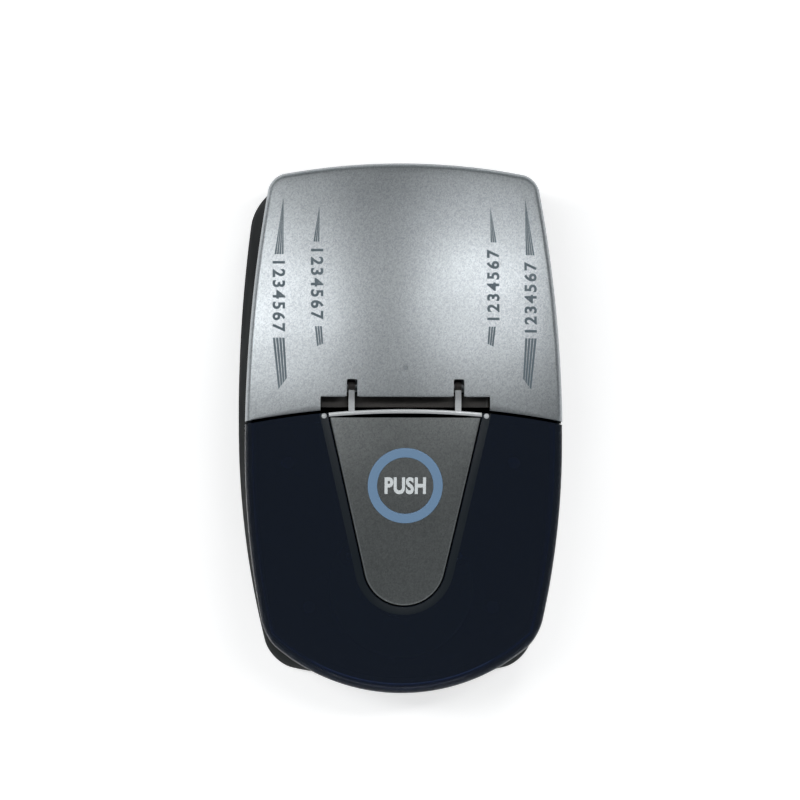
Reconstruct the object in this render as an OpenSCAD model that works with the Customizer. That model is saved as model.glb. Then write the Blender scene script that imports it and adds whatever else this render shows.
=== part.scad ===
/* [Case] */
// Length of the case, front to rear
case_l = 160; // [156:0.5:168]
// Width of the case at its widest place
case_w = 95.6; // [92:0.2:100]
// Height of the crown above the table
case_h = 45; // [43.5:0.5:49]
// How far the widest place lies in front of the middle
wide_y = 6; // [2:0.5:12]
// Radius of the long side curves behind the widest place
side_rear_r = 450; // [400:5:600]
// Radius of the side curves in front of the widest place
side_front_r = 265; // [250:5:320]
// Radius of the rear edge in plan
rear_r = 215; // [180:5:260]
// Radius of the front edge in plan
front_r = 59; // [56:0.5:64]
// Rounding of the rear corners in plan
rear_corner_r = 4; // [3:0.5:12]
// Softening of the front corners in plan
front_corner_r = 2.7; // [1:0.1:4]
// Wall of the moulded shells
wall = 2.2; // [1.8:0.1:2.6]

/* [Crown] */
// How far the highest place lies behind the middle
crown_y = 13; // [8:0.5:18]
// Radius of the crown from side to side
crown_cross_r = 180; // [150:5:240]
// Radius of the crown behind the highest place
crown_rear_r = 400; // [320:10:600]
// Radius of the crown in front of the highest place
crown_front_r = 260; // [230:5:320]
// Radius of the rolled shoulder
shoulder_r = 2.6; // [2.4:0.1:5]

/* [Base] */
// Height of the base rim above the table
base_h = 22; // [21:0.2:22.6]
// How far the base stands inside the cover
base_inset = 0.4; // [0.2:0.1:1]
// How far the sides of the base spread out towards the table
base_flare = 2.2; // [0:0.1:3.2]
// How much further they spread at the rear end
rear_flare = 2; // [0:0.1:2.4]
// How far the lower front edge of the base stands back under the lid
toe_inset = 3; // [2.4:0.1:4]
// Radius of the lower front edge of the base in plan
toe_r = 150; // [120:5:200]
// Rounding of the lower front corners of the base in plan
toe_corner_r = 6; // [4:0.5:9]
// Rounding of the lower rear corners of the base in plan
heel_corner_r = 11; // [8:0.5:14]
// How far the lid reaches over the front of the base as a finger lip
lip_reach = 1.8; // [1:0.1:3]
// Thickness of the base floor
floor_t = 2.2; // [1.8:0.1:2.8]
// Rounding of the lower edge of the base
base_edge_r = 3; // [2:0.1:4]
// Height of the feet below the base
foot_h = 1; // [0.6:0.1:2]
// Radius of a foot
foot_r = 5; // [3.5:0.1:6]
// Depth of the pocket that holds a foot
foot_pocket = 0.8; // [0.5:0.1:1.2]

/* [Lid and seam] */
// Place of the seam on the centre line
seam_y = 6.3; // [5.8:0.1:6.8]
// Radius of the seam in plan
seam_r = 260; // [220:5:320]
// Gap of the seam
seam_gap = 0.9; // [0.8:0.05:1.3]
// Gap under the lid rim
rim_gap = 0.3; // [0.2:0.05:0.6]
// Thickness of the skirt round the tongue
skirt_t = 1.6; // [1.2:0.1:2]

/* [Tongue button] */
// Half width of the tongue at its rear edge
tongue_half = 22.6; // [20:0.1:22.8]
// Place of the rear edge of the tongue
tongue_rear_y = 3.4; // [2:0.1:3.8]
// Place of the front tip of the tongue
tongue_tip_y = -53; // [-56:0.2:-49]
// Radius of the front tip of the tongue
tongue_tip_r = 12.2; // [10:0.1:14]
// Thickness of the tongue
tongue_t = 2; // [1.6:0.1:2.4]
// Gap round the tongue
tongue_gap = 0.35; // [0.3:0.05:0.5]
// How far the tongue lies below the crown
tongue_recess = 0.4; // [0.2:0.05:0.6]
// Travel of the button
button_travel = 1; // [0.6:0.1:1.2]
// Place of the ring centre
ring_y = -16.9; // [-19:0.1:-14]
// Outer diameter of the ring
ring_od = 22.5; // [20:0.1:24]
// Inner diameter of the ring
ring_id = 16.8; // [14:0.1:18]
// Thickness of the ring
ring_t = 0.9; // [0.7:0.05:1.1]
// Radius of the button stem
stem_r = 2.5; // [2:0.1:2.8]
// Radius of a guide post of the button
guide_r = 1.4; // [1.2:0.1:1.6]
// Depth of the button tray below the crown
tray_drop = 6.4; // [6:0.1:7]
// Thickness of the button tray
tray_t = 1.8; // [1.4:0.1:2.2]

/* [Hinge] */
// Place of the hinge axis behind the middle
hinge_y = 13; // [12.6:0.1:13.4]
// Depth of the hinge axis below the crown
hinge_drop = 5.3; // [5.1:0.1:5.6]
// Radius of the hinge pin
pin_r = 0.8; // [0.7:0.05:0.9]
// Running clearance on the hinge pin
pin_play = 0.05; // [0.02:0.01:0.08]
// Place of a hinge arm from the centre line
arm_x = 16; // [15.5:0.1:16.5]
// Width of a hinge arm
arm_w = 2.2; // [1.8:0.1:2.4]
// Height of a hinge arm
arm_h = 2; // [1.6:0.1:2.2]
// Radius of a hinge eye
eye_r = 1.8; // [1.6:0.05:2]
// Half length of the bright strip behind the tongue
strip_half = 23.2; // [22.8:0.1:23.2]
// Thickness of the bright strip
strip_t = 1.2; // [1:0.1:1.4]
// Half width of the hinge trough
trough_half = 25.4; // [25.2:0.1:26]
// Place of the lip at the rear of the trough
lip_y = 9.8; // [9.4:0.1:10.2]
// Width of an arm slot in the cover
slot_w = 3.2; // [3:0.1:3.6]

/* [Test chamber] */
// Thickness of the deck
deck_t = 2; // [1.6:0.1:2.4]
// How far the deck lies below the base rim
deck_drop = 3.9; // [3.5:0.1:4.2]
// Place of the stage centre
stage_y = -47.5; // [-49:0.5:-46.5]
// Radius of the stage pad
pad_r = 22; // [20:0.2:22]
// Thickness of the stage pad
pad_t = 2; // [1.6:0.1:3]
// Radius of the stage window
window_r = 10; // [9.5:0.1:11]
// Thickness of the stage window
window_t = 1.6; // [1.2:0.1:1.8]
// Half width of the switch tower
tower_half = 12; // [11:0.2:14]
// Wall of the switch tower
tower_wall = 1.8; // [1.4:0.1:2.2]
// Radius of the switch plunger
plunger_r = 3; // [2.6:0.1:3.4]
// Radius of a test lamp
lamp_r = 2.5; // [2.3:0.1:2.7]
// Place of a test lamp from the stage centre
lamp_x = 6.6; // [6.4:0.1:7]
// Radius of the lamp holder
holder_r = 11; // [10.5:0.1:12]

/* [Batteries] */
// Radius of a cell
cell_r = 5.2; // [5:0.05:5.25]
// Length of a cell
cell_l = 44.5; // [44:0.1:45]
// Number of cells
cell_count = 4; // [2:1:4]
// Distance between neighbouring cells
cell_pitch = 11.2; // [10.6:0.1:11.4]

/* [Screws] */
// Radius of a case screw
case_screw_r = 1.25; // [1:0.05:1.4]
// Radius of the head of a case screw
case_head_r = 2.6; // [2.2:0.1:2.8]
// Radius of a small screw
small_screw_r = 1; // [0.8:0.05:1.1]
// Radius of the head of a small screw
small_head_r = 1.9; // [1.6:0.1:2.1]
// Height of the head of a small screw
small_head_t = 1.2; // [1:0.1:1.4]
// Length of a small screw in its pilot hole
small_grip = 2.5; // [2:0.1:2.8]
// Wall of a screw post round its hole
post_wall = 1.9; // [1.4:0.1:2.2]

/* [Fits] */
// Clearance of a fixed piece in its seat
seat_play = 0.1; // [0.05:0.01:0.2]
// Clearance between pieces that move past each other
move_play = 0.3; // [0.25:0.05:0.5]
// Clearance of a screw in its pilot hole
screw_play = 0.05; // [0.02:0.01:0.1]

/* [Hidden] */
$fn = 48;

// Points round a shell, and the share of the way out of its inner rings
shell_steps = 96;
tongue_steps = 64;
ring_steps = 48;
inner_rings = [0.25, 0.5, 0.78];
shoulder_angles = [0, 30, 60, 90];
hollow_angles = [90, 45, 0];
arc_steps = 24;
band_steps = 10;

// Heights of the main levels
floor_top = foot_h + floor_t;
deck_top = base_h - deck_drop;
deck_under = deck_top - deck_t;
lid_rim = base_h + rim_gap;
hinge_z = case_h - hinge_drop;

// Depth of a union into its neighbour, and the overrun of a cut
bite = 0.9;
over = 1;

// Base: where the finger lip begins, how soon it is full, and the fillet inside
lip_start = 30;
lip_ramp = 20;
floor_fillet = 2;

// Least fillet inside a shell
least_fillet = 0.2;

// Tongue: its tip circle and the lean of its straight sides
tip_y = tongue_tip_y + tongue_tip_r;
tongue_span = [tongue_half, tongue_rear_y - tip_y];
lean = acos(tongue_tip_r / norm(tongue_span)) - atan2(tongue_span[1], tongue_span[0]);
tongue_mid = [0, (tongue_tip_y + tongue_rear_y) / 2];
tongue_edge = 0.4;
ring_proud = 0.1;

// Strip and tray behind and under the tongue
strip_rear_y = seam_y - 0.4;
strip_front_y = strip_rear_y - strip_t;
strip_sink = 0.3;
tray_grow = tongue_gap + skirt_t;
foot_tab = [8, 7];
tab_t = 1.5;
tab_screw_x = 5;
tab_front_y = strip_front_y - foot_tab[1];
tab_top = crown(foot_tab[0], tab_front_y) - tray_drop - tray_t - seat_play;
ear_rows = [-4, -38];
ear_r = small_screw_r + post_wall;
ear_points = [for (y = ear_rows, s = [-1, 1]) [s * (v_half(y) + tray_grow + ear_r / 2), y]];
guide_points = [[-9, -4], [9, -4], [0, -41]];
guide_reach = 1.2;

// Hinge trough, its floor and its side walls
trough_drop = 2.3;
trough_floor_t = 1.2;
trough_wall_t = 1.2;
trough_front_y = seam_y + 0.3;
trough_rear_y = lip_y + 1;
slot_rear_y = hinge_y + eye_r + 0.5;

// Hinge bracket
bracket_top = hinge_z - 3.7;
bracket_t = 1.8;
bracket_half = 31;
bracket_y = [hinge_y - eye_r, hinge_y + 3.8];
ear_gap = 0.7;
ear_widths = [2.7, 2];
ear_half = 1.5;
boss_points = [for (s = [-1, 1]) [s * (trough_half + 2.1), hinge_y + 3]];
pin_half = arm_x + arm_w / 2 + ear_gap + ear_widths[1];

// Case posts under the cover and the bosses that meet them
case_posts = [for (s = [-1, 1], p = [[case_w / 2 - 10.2, seam_y + 13.7], [case_w / 2 - 13.2, case_l / 2 - 15]])
    [s * p[0], p[1]]];
cover_post_z = base_h / 2;
case_boss_r = case_head_r + move_play + post_wall;
case_seat_z = floor_top + 1.5;
case_head_t = 2;
pilot_depth = 8;
small_pilot = small_grip + 0.5;

// Deck, bulkhead and switch tower
deck_rear_y = tongue_rear_y + 0.4;
bulkhead_half = case_w / 2 - 7.2;
flange_r = plunger_r + 1;
flange_t = 1;
tower_front_y = ring_y - flange_r - 1.3 - tower_wall;
tower_top = crown(0, tower_front_y) - tray_drop - tray_t - 1.4;
tower_roof = tower_top - tower_wall;
bulkhead_top = tower_top;
plunger_top = crown(0, ring_y) - tray_drop - tray_t - 0.6;
flange_top = tower_roof - 0.2;
actuator_top = flange_top - flange_t - button_travel - 0.3;
switch_body = [6, 6, 1.5];
actuator_h = 0.6;
actuator_r = 1.7;
switch_board_top = actuator_top - actuator_h - switch_body[2];
switch_board_t = 1.4;
switch_board_half = 8.5;
switch_board_rear_y = ring_y + 13;
switch_board_front_y = tower_front_y + tower_wall + move_play;
switch_posts = [for (s = [-1, 1]) [s * 6, ring_y + 10.4]];
deck_posts = [for (s = [-1, 1], p = [[case_w / 2 - 13.2, -10], [28, stage_y - 6.5]]) [s * p[0], p[1]]];
light_r = window_r - 1;

// Filter and sensor
filter_r = 3.4;
filter_t = 1.5;
sensor_size = 3.2;
lamp_leg = 1;

// Boards
board_t = 1.6;
sensor_board_z = floor_top + 2.8;
sensor_board_top = sensor_board_z + board_t;
sensor_half = [22, 17];
sensor_posts = [for (x = [-19, 19], y = [-14, 14]) [x, stage_y + y]];
main_board_z = floor_top + 2 * cell_r + 9;
main_board_top = main_board_z + board_t;
main_half = 34.5;
board_y = case_l / 2 - 36.5;
main_y = [board_y - 17.5, board_y + 17.5];
main_posts = [for (x = [-31, 31], y = [-13.5, 13.5]) [x, board_y + y]];
pinhole_y = 18.3;
board_neck_half = 8;
board_neck_y = pinhole_y - 3.5;
guide_pin_r = 0.6;
guide_flange = [1.6, 1];
lamp_body = [1.5, 3];
buzzer_at = [-20, board_y + 1.5];
buzzer_size = [6, 6];
chips = [[2, -1.5, 12, 12, 1.6], [20, 6.5, 9, 6, 1.4], [20, -7.5, 7, 7, 4], [-4, 11.5, 6, 4, 1.2],
    [-20, -11.5, 10, 5, 2.5]];
guide_end = main_board_top + lamp_body[1] + 0.5;

filter_z = deck_under - filter_t - 1.6;

// Rear sockets and switches
socket_x = 20;
socket_body = [9, 11, 10];
socket_z = floor_top + floor_fillet + socket_body[2] / 2;
socket_face_y = rear_wall(socket_x + socket_body[0]) - wall - seat_play;
socket_nose_r = 4;
socket_bore_r = 2.75;
socket_pin_r = 1;
socket_bore_l = 9;
slide_x = -20;
slide_case = [13, 6, 7];
slide_z = floor_top + floor_fillet + slide_case[2] / 2;
slide_face_y = rear_wall(abs(slide_x) + slide_case[0] / 2) - wall - seat_play;
slide_reach = 2.5;
slide_knob = [4.4, 2.6];
slide_travel = 4;
rear_shelves = [[socket_x, socket_face_y, socket_body], [slide_x, slide_face_y, slide_case]];

// Battery bay
cell_nub = [2, 1];
contact_room = 2;
tray_wall = 1.5;
cell_rise = 0.5;
bay_gap = 1.5;
cell_y = socket_face_y - socket_body[1] - bay_gap - tray_wall - contact_room - cell_l / 2;
cell_z = floor_top + cell_rise + cell_r;
cell_xs = [for (i = [0 : cell_count - 1]) (i - (cell_count - 1) / 2) * cell_pitch];
bay_half = (cell_count - 1) / 2 * cell_pitch + cell_r + move_play;
bay_y = [cell_y - cell_l / 2 - contact_room, cell_y + cell_l / 2 + contact_room];
bay_top = cell_z + cell_r + move_play;
door_half = bay_half - 0.5;
door_y = [bay_y[0] + 0.5, bay_y[1] - 0.5];
door_t = floor_t - 0.2;
grip_count = 4;
grip_half = 8;
grip_w = 1.2;

// Feet
feet = [for (s = [-1, 1], p = [[case_w / 2 - 14, case_l / 2 - 26], [case_w / 2 - 15, -case_l / 2 + 34]])
    [s * p[0], p[1]]];

// Blending of two depths so that their corner has radius r
function round_min(a, b, r) = (a < r && b < r) ? r - norm([r - a, r - b]) : min(a, b);

// Depth of a point inside one side curve, the rear curve and the front curve of the plan
function side_depth(x, y) =
    let (r = y > -wide_y ? side_rear_r : side_front_r)
    r - norm([abs(x) - case_w / 2 + r, y + wide_y]);
function rear_depth(x, y) = rear_r - norm([x, y - case_l / 2 + rear_r]);
function front_depth(x, y) =
    y < front_r - case_l / 2 ? front_r - norm([x, y + case_l / 2 - front_r]) : case_l;

// Depth of a point inside the plan of the case and inside the plan of the base
plan_depth = function (x, y)
    round_min(round_min(side_depth(x, y), rear_depth(x, y), rear_corner_r), front_depth(x, y), front_corner_r);
function share(t) = min(1, max(0, t));
function ramp(t) = t * t * (3 - 2 * t);
base_depth = function (x, y)
    plan_depth(x, y) - base_inset - lip_reach * ramp(share((lip_start - case_l / 2 - y) / lip_ramp));

// Depth inside the lower edge of the base, which has straighter sides and fuller corners than its rim
base_foot = function (x, y)
    let (side = side_depth(x, y) - base_inset + base_flare + 2 * rear_flare * y / case_l)
    let (rear = rear_depth(x, y) - base_inset)
    let (middle = toe_r + toe_inset - case_l / 2)
    let (front = y < middle ? toe_r - norm([x, y - middle]) : case_l)
    round_min(round_min(side, rear, heel_corner_r), front, toe_corner_r);

// Distance of a point from the spine of the tongue, equal along its whole side and tip
function spine(x, y) =
    let (p = [abs(x), y - tip_y])
    p[0] * sin(lean) + p[1] * cos(lean) > 0 ? p[0] * cos(lean) - p[1] * sin(lean) : norm(p);
tongue_depth = function (x, y) min(tongue_tip_r - spine(x, y), tongue_rear_y - y);
tray_depth = function (x, y)
    min(tongue_tip_r + tray_grow - spine(x, y), strip_front_y - seat_play - y);
function v_half(y) = (tongue_tip_r + (y - tip_y) * sin(lean)) / cos(lean);

// Height of the crown over a point
function crown(x, y) =
    let (r = y > crown_y ? crown_rear_r : crown_front_r)
    let (cross = r - crown_cross_r + sqrt(crown_cross_r * crown_cross_r - x * x))
    case_h - r + sqrt(cross * cross - (y - crown_y) * (y - crown_y));

// Distance from a centre, at angle a, at which a depth function falls to a level
function reach(ask, c, level, a, lo = 0, hi = 130, n = 26) =
    let (mid = (lo + hi) / 2)
    n == 0 ? mid
    : ask(c[0] + mid * cos(a), c[1] + mid * sin(a)) > level ? reach(ask, c, level, a, mid, hi, n - 1)
    : reach(ask, c, level, a, lo, mid, n - 1);

// Ring of points at a level, drawn in to a share k, with a height function
function ring(ask, c, level, k, steps, height) = [for (i = [0 : steps - 1])
    let (a = 360 * i / steps)
    let (r = k * reach(ask, c, level, a))
    let (x = c[0] + r * cos(a))
    let (y = c[1] + r * sin(a))
    [x, y, height(x, y)]];

// Closed solid from a first pole through a stack of rings to a last pole
module ring_solid(first, rings, last, rising) {
    n = len(rings[0]);
    end = n * len(rings) + 1;
    points = concat([first], [for (r = rings) each r], [last]);
    fan = [for (i = [0 : n - 1]) [0, 1 + (i + 1) % n, 1 + i]];
    cap = [for (i = [0 : n - 1]) [end, end - n + i, end - n + (i + 1) % n]];
    bands = [for (k = [0 : len(rings) - 2], i = [0 : n - 1])
        let (a = 1 + k * n + i)
        let (b = 1 + k * n + (i + 1) % n)
        each [[a, b, b + n], [a, b + n, a + n]]];
    faces = concat(fan, bands, cap);
    polyhedron(points, rising ? [for (f = faces) [f[2], f[1], f[0]]] : faces);
}

// Crowned shell with a rolled shoulder and straight sides down to a rim
module dome_shell(rim) {
    c = [0, 0];
    inner_r = max(least_fillet, shoulder_r - wall);
    top = function (x, y) crown(x, y);
    under = function (x, y) crown(x, y) - wall;
    rim_z = function (x, y) rim;
    outside = concat(
        [for (k = inner_rings) ring(plan_depth, c, shoulder_r, k, shell_steps, top)],
        [for (t = shoulder_angles) ring(plan_depth, c, shoulder_r * (1 - sin(t)), 1, shell_steps,
            function (x, y) crown(x, y) - shoulder_r * (1 - cos(t)))],
        [ring(plan_depth, c, 0, 1, shell_steps, rim_z)]);
    inside = concat(
        [ring(plan_depth, c, wall, 1, shell_steps, rim_z)],
        [for (t = hollow_angles) ring(plan_depth, c, wall + inner_r * (1 - sin(t)), 1, shell_steps,
            function (x, y) crown(x, y) - wall - inner_r * (1 - cos(t)))],
        [for (i = [len(inner_rings) - 1 : -1 : 0])
            ring(plan_depth, c, shoulder_r, inner_rings[i], shell_steps, under)]);
    ring_solid([0, 0, top(0, 0)], concat(outside, inside), [0, 0, under(0, 0)], false);
}

// Ring that follows the crown between two radii, from a sink below it down by a thickness
module crown_ring(y0, r0, r1, sink, t) {
    top = function (x, y) crown(x, y) - sink;
    low = function (x, y) crown(x, y) - sink - t;
    loops = [for (q = [[r0, top], [r1, top], [r1, low], [r0, low]]) [for (i = [0 : ring_steps - 1])
        let (a = 360 * i / ring_steps)
        let (x = q[0] * cos(a))
        let (y = y0 + q[0] * sin(a))
        [x, y, q[1](x, y)]]];
    faces = [for (k = [0 : 3], i = [0 : ring_steps - 1])
        let (j = (i + 1) % ring_steps)
        let (a = k * ring_steps)
        let (b = (k + 1) % 4 * ring_steps)
        each [[a + i, a + j, b + j], [a + i, b + j, b + i]]];
    polyhedron([for (q = loops) each q], faces);
}

// Points along the tongue's side, round its tip and back, grown outwards
function v_path(grow, end_y, side_steps) =
    let (r = tongue_tip_r + grow)
    let (far = [(r + (end_y - tip_y) * sin(lean)) / cos(lean), end_y])
    let (near = [r * cos(lean), tip_y - r * sin(lean)])
    let (side = [for (i = [0 : side_steps - 1]) far + (near - far) * i / side_steps])
    let (sweep = 180 - 2 * lean)
    let (tip = [for (i = [0 : arc_steps]) let (a = -lean - sweep * i / arc_steps) r * [cos(a), sin(a)]])
    concat(side, [for (p = tip) p + [0, tip_y]],
        [for (i = [1 : side_steps]) [-side[side_steps - i][0], side[side_steps - i][1]]]);

// Wall that follows the tongue's outline between two growths, under the crown
module v_band(inner, outer, end_y, sink, low) {
    near = v_path(inner, end_y, band_steps);
    far = v_path(outer, end_y, band_steps);
    n = len(near);
    lift = function (p, d) [p[0], p[1], crown(p[0], p[1]) - d];
    points = concat([for (p = near) lift(p, sink)], [for (p = far) lift(p, sink)],
        [for (p = far) lift(p, low)], [for (p = near) lift(p, low)]);
    sides = [for (k = [0 : 3], i = [0 : n - 2])
        let (a = k * n + i)
        let (b = (k + 1) % 4 * n + i)
        each [[a, b, b + 1], [a, b + 1, a + 1]]];
    ends = [[0, 3 * n, 2 * n], [0, 2 * n, n], [n - 1, 2 * n - 1, 3 * n - 1], [n - 1, 3 * n - 1, 4 * n - 1]];
    polyhedron(points, concat(sides, ends));
}

// Outer face of the rear wall of the base at a place across it
function rear_wall(x) = case_l / 2 - rear_r + sqrt((rear_r - base_inset) * (rear_r - base_inset) - x * x);

// Upright round bar between two heights
module peg(p, z0, z1, r) translate([p[0], p[1], z0]) cylinder(r = r, h = z1 - z0);

// Block between two corners
module block(a, b) translate(a) cube(b - a);

// Round bar along the hinge axis
module hinge_rod(half, r) translate([-half, hinge_y, hinge_z]) rotate([0, 90, 0]) cylinder(r = r, h = 2 * half);

// Round bar that runs forward from a place
module rod_forward(y, r, l) translate([0, y, 0]) rotate([90, 0, 0]) cylinder(r = r, h = l);

// Screw with a slotted head, seated at a height, with its shank pointing up or down
module screw(p, seat, up, grip, r, head_r, head_t) {
    translate([p[0], p[1], seat]) mirror([0, 0, up ? 0 : 1]) difference() {
        union() {
            translate([0, 0, -head_t]) cylinder(r = head_r, h = head_t);
            translate([0, 0, -head_t / 2]) cylinder(r = r, h = head_t / 2 + grip);
        }
        block([-head_r, -head_r / 6, -head_t - over], [head_r, head_r / 6, -head_t * 0.6]);
    }
}

// Plan of everything behind the seam
module rear_plan() difference() {
    translate([-case_w, -case_l / 4]) square([2 * case_w, case_l]);
    translate([0, seam_y - seam_r]) circle(r = seam_r + seam_gap / 2, $fn = 360);
}

// Plan of everything in front of the seam
module front_plan() translate([0, seam_y - seam_r]) circle(r = seam_r - seam_gap / 2, $fn = 360);

// Open tub of the base with a rounded lower edge
module base_tub() {
    c = [0, 0];
    at = function (ask, level, z) ring(ask, c, level, 1, shell_steps, function (x, y) z);
    turn = 1 - sin(45);
    rings = [at(base_foot, base_edge_r, foot_h), at(base_foot, base_edge_r * turn, foot_h + base_edge_r * turn),
        at(base_foot, 0, foot_h + base_edge_r), at(base_depth, 0, base_h), at(base_depth, wall, base_h),
        at(base_foot, wall, floor_top + floor_fillet), at(base_foot, wall + floor_fillet, floor_top)];
    ring_solid([0, 0, foot_h], rings, [0, 0, floor_top], true);
}

// Lower case with its screw bosses, battery opening and rear openings
module base_shell() color("#262b2e") {
    small_posts = concat([for (p = main_posts) [p, main_board_z]], [for (p = sensor_posts) [p, sensor_board_z]],
        [for (p = deck_posts) [p, deck_under]]);
    slot_half = (slide_travel + slide_knob[0]) / 2 + move_play;
    difference() {
        union() {
            base_tub();
            for (p = case_posts) peg(p, foot_h + bite, cover_post_z - seat_play, case_boss_r);
            for (q = small_posts) peg(q[0], foot_h + bite, q[1], small_screw_r + post_wall);
            for (q = rear_shelves) block([q[0] - q[2][0] / 2, q[1] - q[2][1], foot_h + bite],
                [q[0] + q[2][0] / 2, q[1] + wall / 2, floor_top + floor_fillet]);
        }
        for (p = case_posts) {
            peg(p, -over, case_seat_z, case_head_r + move_play);
            peg(p, -over, base_h, case_screw_r + move_play);
        }
        for (q = small_posts) {
            peg(q[0], max(q[1] - pilot_depth, foot_h + bite), q[1] + over, small_screw_r + screw_play);
        }
        for (p = feet) peg(p, -over, foot_h + foot_pocket, foot_r + seat_play);
        block([-door_half - move_play, door_y[0] - move_play, -over],
            [door_half + move_play, door_y[1] + move_play, floor_top + over]);
        translate([socket_x, case_l / 2 + over, socket_z]) rotate([90, 0, 0])
            cylinder(r = socket_nose_r + seat_play, h = case_l / 2 + 2 * over - rear_wall(socket_x) + wall);
        block([slide_x - slot_half, rear_wall(slide_x) - 2 * wall, slide_z - slide_knob[1] / 2 - move_play],
            [slide_x + slot_half, case_l / 2 + over, slide_z + slide_knob[1] / 2 + move_play]);
    }
}

// Floor and side walls of the hinge trough
module trough_liner() {
    floor_z = hinge_z - trough_drop;
    out = trough_half + trough_wall_t;
    block([-out, trough_front_y, floor_z - trough_floor_t], [out, trough_rear_y, floor_z]);
    for (s = [0, 1]) mirror([s, 0, 0]) block([trough_half, trough_front_y, floor_z - bite],
        [out, trough_rear_y, crown(out, trough_front_y) - bite]);
}

// Upper rear cover with the hinge trough, arm slots and screw posts
module rear_cover() color("#a4a9ac") difference() {
    union() {
        difference() {
            intersection() {
                dome_shell(base_h);
                linear_extrude(case_h + over) rear_plan();
            }
            block([-trough_half, seam_y - 3 * over, hinge_z], [trough_half, lip_y, case_h + over]);
            for (s = [-1, 1]) block([s * arm_x - slot_w / 2, lip_y - over, hinge_z],
                [s * arm_x + slot_w / 2, slot_rear_y, case_h + over]);
        }
        trough_liner();
        for (p = case_posts) peg(p, cover_post_z, crown(p[0], p[1]) - bite, case_screw_r + post_wall);
        for (p = boss_points) peg(p, bracket_top, crown(p[0], p[1]) - bite, small_screw_r + post_wall);
    }
    for (p = case_posts) peg(p, cover_post_z - over, cover_post_z + pilot_depth, case_screw_r + screw_play);
    for (p = boss_points) peg(p, bracket_top - over, bracket_top + small_pilot, small_screw_r + screw_play);
    peg([0, pinhole_y], case_h - 2 * wall, case_h + over, guide_pin_r + seat_play);
}

// Smoked lid with the opening for the tongue, its skirt and its screw bosses
module shield_lid() color("#141a22") {
    boss_z = [for (p = ear_points) ear_seat(p) + seat_play];
    difference() {
        union() {
            intersection() {
                dome_shell(lid_rim);
                linear_extrude(case_h + over) front_plan();
            }
            intersection() {
                v_band(tongue_gap - bite, tray_grow, seam_y, wall / 2, tray_drop - 0.15);
                linear_extrude(case_h + over) front_plan();
            }
            for (i = [0 : len(ear_points) - 1]) peg(ear_points[i], boss_z[i],
                crown(ear_points[i][0], ear_points[i][1]) - bite, ear_r);
        }
        translate([0, 0, base_h]) linear_extrude(case_h) polygon(v_path(tongue_gap, seam_y + 4 * over, 1));
        for (i = [0 : len(ear_points) - 1]) {
            peg(ear_points[i], boss_z[i] - over, boss_z[i] + small_pilot, small_screw_r + screw_play);
            peg(ear_points[i], base_h, boss_z[i], ear_r + seat_play);
        }
    }
}

// Height of the seat of a tray ear, clear of the curved tray round it
function ear_seat(p) = crown(abs(p[0]) - ear_r, p[1] + ear_r) - tray_drop + seat_play;

// Strip behind the tongue with the two hinge arms and the tab that holds the tray
module hinge_arms() color("#aeb3b6") {
    top_r = crown_cross_r;
    strip_top = crown(0, strip_front_y) - strip_sink;
    difference() {
        union() {
            translate([0, strip_rear_y, 0]) rotate([90, 0, 0]) linear_extrude(strip_t) intersection() {
                translate([-strip_half, tab_top - tab_t]) square([2 * strip_half, case_h]);
                translate([0, strip_top - top_r]) circle(r = top_r, $fn = 720);
            }
            block([-foot_tab[0], tab_front_y, tab_top - tab_t], [foot_tab[0], strip_rear_y, tab_top]);
            for (s = [-1, 1]) translate([s * arm_x - arm_w / 2, hinge_y, hinge_z]) {
                rotate([0, 90, 0]) cylinder(r = eye_r, h = arm_w);
                block([0, strip_front_y - hinge_y + strip_t / 2, -arm_h / 2], [arm_w, 0, arm_h / 2]);
            }
        }
        hinge_rod(case_w / 2, pin_r + pin_play);
        for (s = [-1, 1]) peg([s * tab_screw_x, tab_front_y + 3], 0, case_h, small_screw_r + seat_play);
    }
}

// Curved tray under the tongue, with holes for the stem, the guides and the screws
module button_tray() color("#6d7274") {
    top = function (x, y) crown(x, y) - tray_drop;
    low = function (x, y) crown(x, y) - tray_drop - tray_t;
    at = function (k, z) ring(tray_depth, tongue_mid, 0, k, tongue_steps, z);
    c = tongue_mid;
    difference() {
        union() {
            ring_solid([c[0], c[1], top(c[0], c[1])], [at(0.5, top), at(1, top), at(1, low), at(0.5, low)],
                [c[0], c[1], low(c[0], c[1])], false);
            for (p = ear_points) peg(p, ear_seat(p) - tray_t - seat_play, ear_seat(p), ear_r);
        }
        peg([0, ring_y], 0, case_h, stem_r + move_play);
        for (p = guide_points) peg(p, 0, case_h, guide_r + move_play);
        for (p = ear_points) {
            peg(p, 0, case_h, small_screw_r + seat_play);
            peg(p, 0, ear_seat(p) - tray_t - seat_play, small_head_r + seat_play);
        }
        for (s = [-1, 1]) peg([s * tab_screw_x, tab_front_y + 3], 0, case_h, small_screw_r + screw_play);
    }
}

// Screws that hold the tray to the lid and to the hinge strip
module tray_screws() color("#9a9da0") {
    for (p = ear_points) screw(p, ear_seat(p) - tray_t - seat_play, true, tray_t + small_grip, small_screw_r,
        small_head_r, small_head_t);
    for (s = [-1, 1]) screw([s * tab_screw_x, tab_front_y + 3], tab_top - tab_t, true, tab_t + tray_t - 0.2,
        small_screw_r, small_head_r, small_head_t);
}

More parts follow.
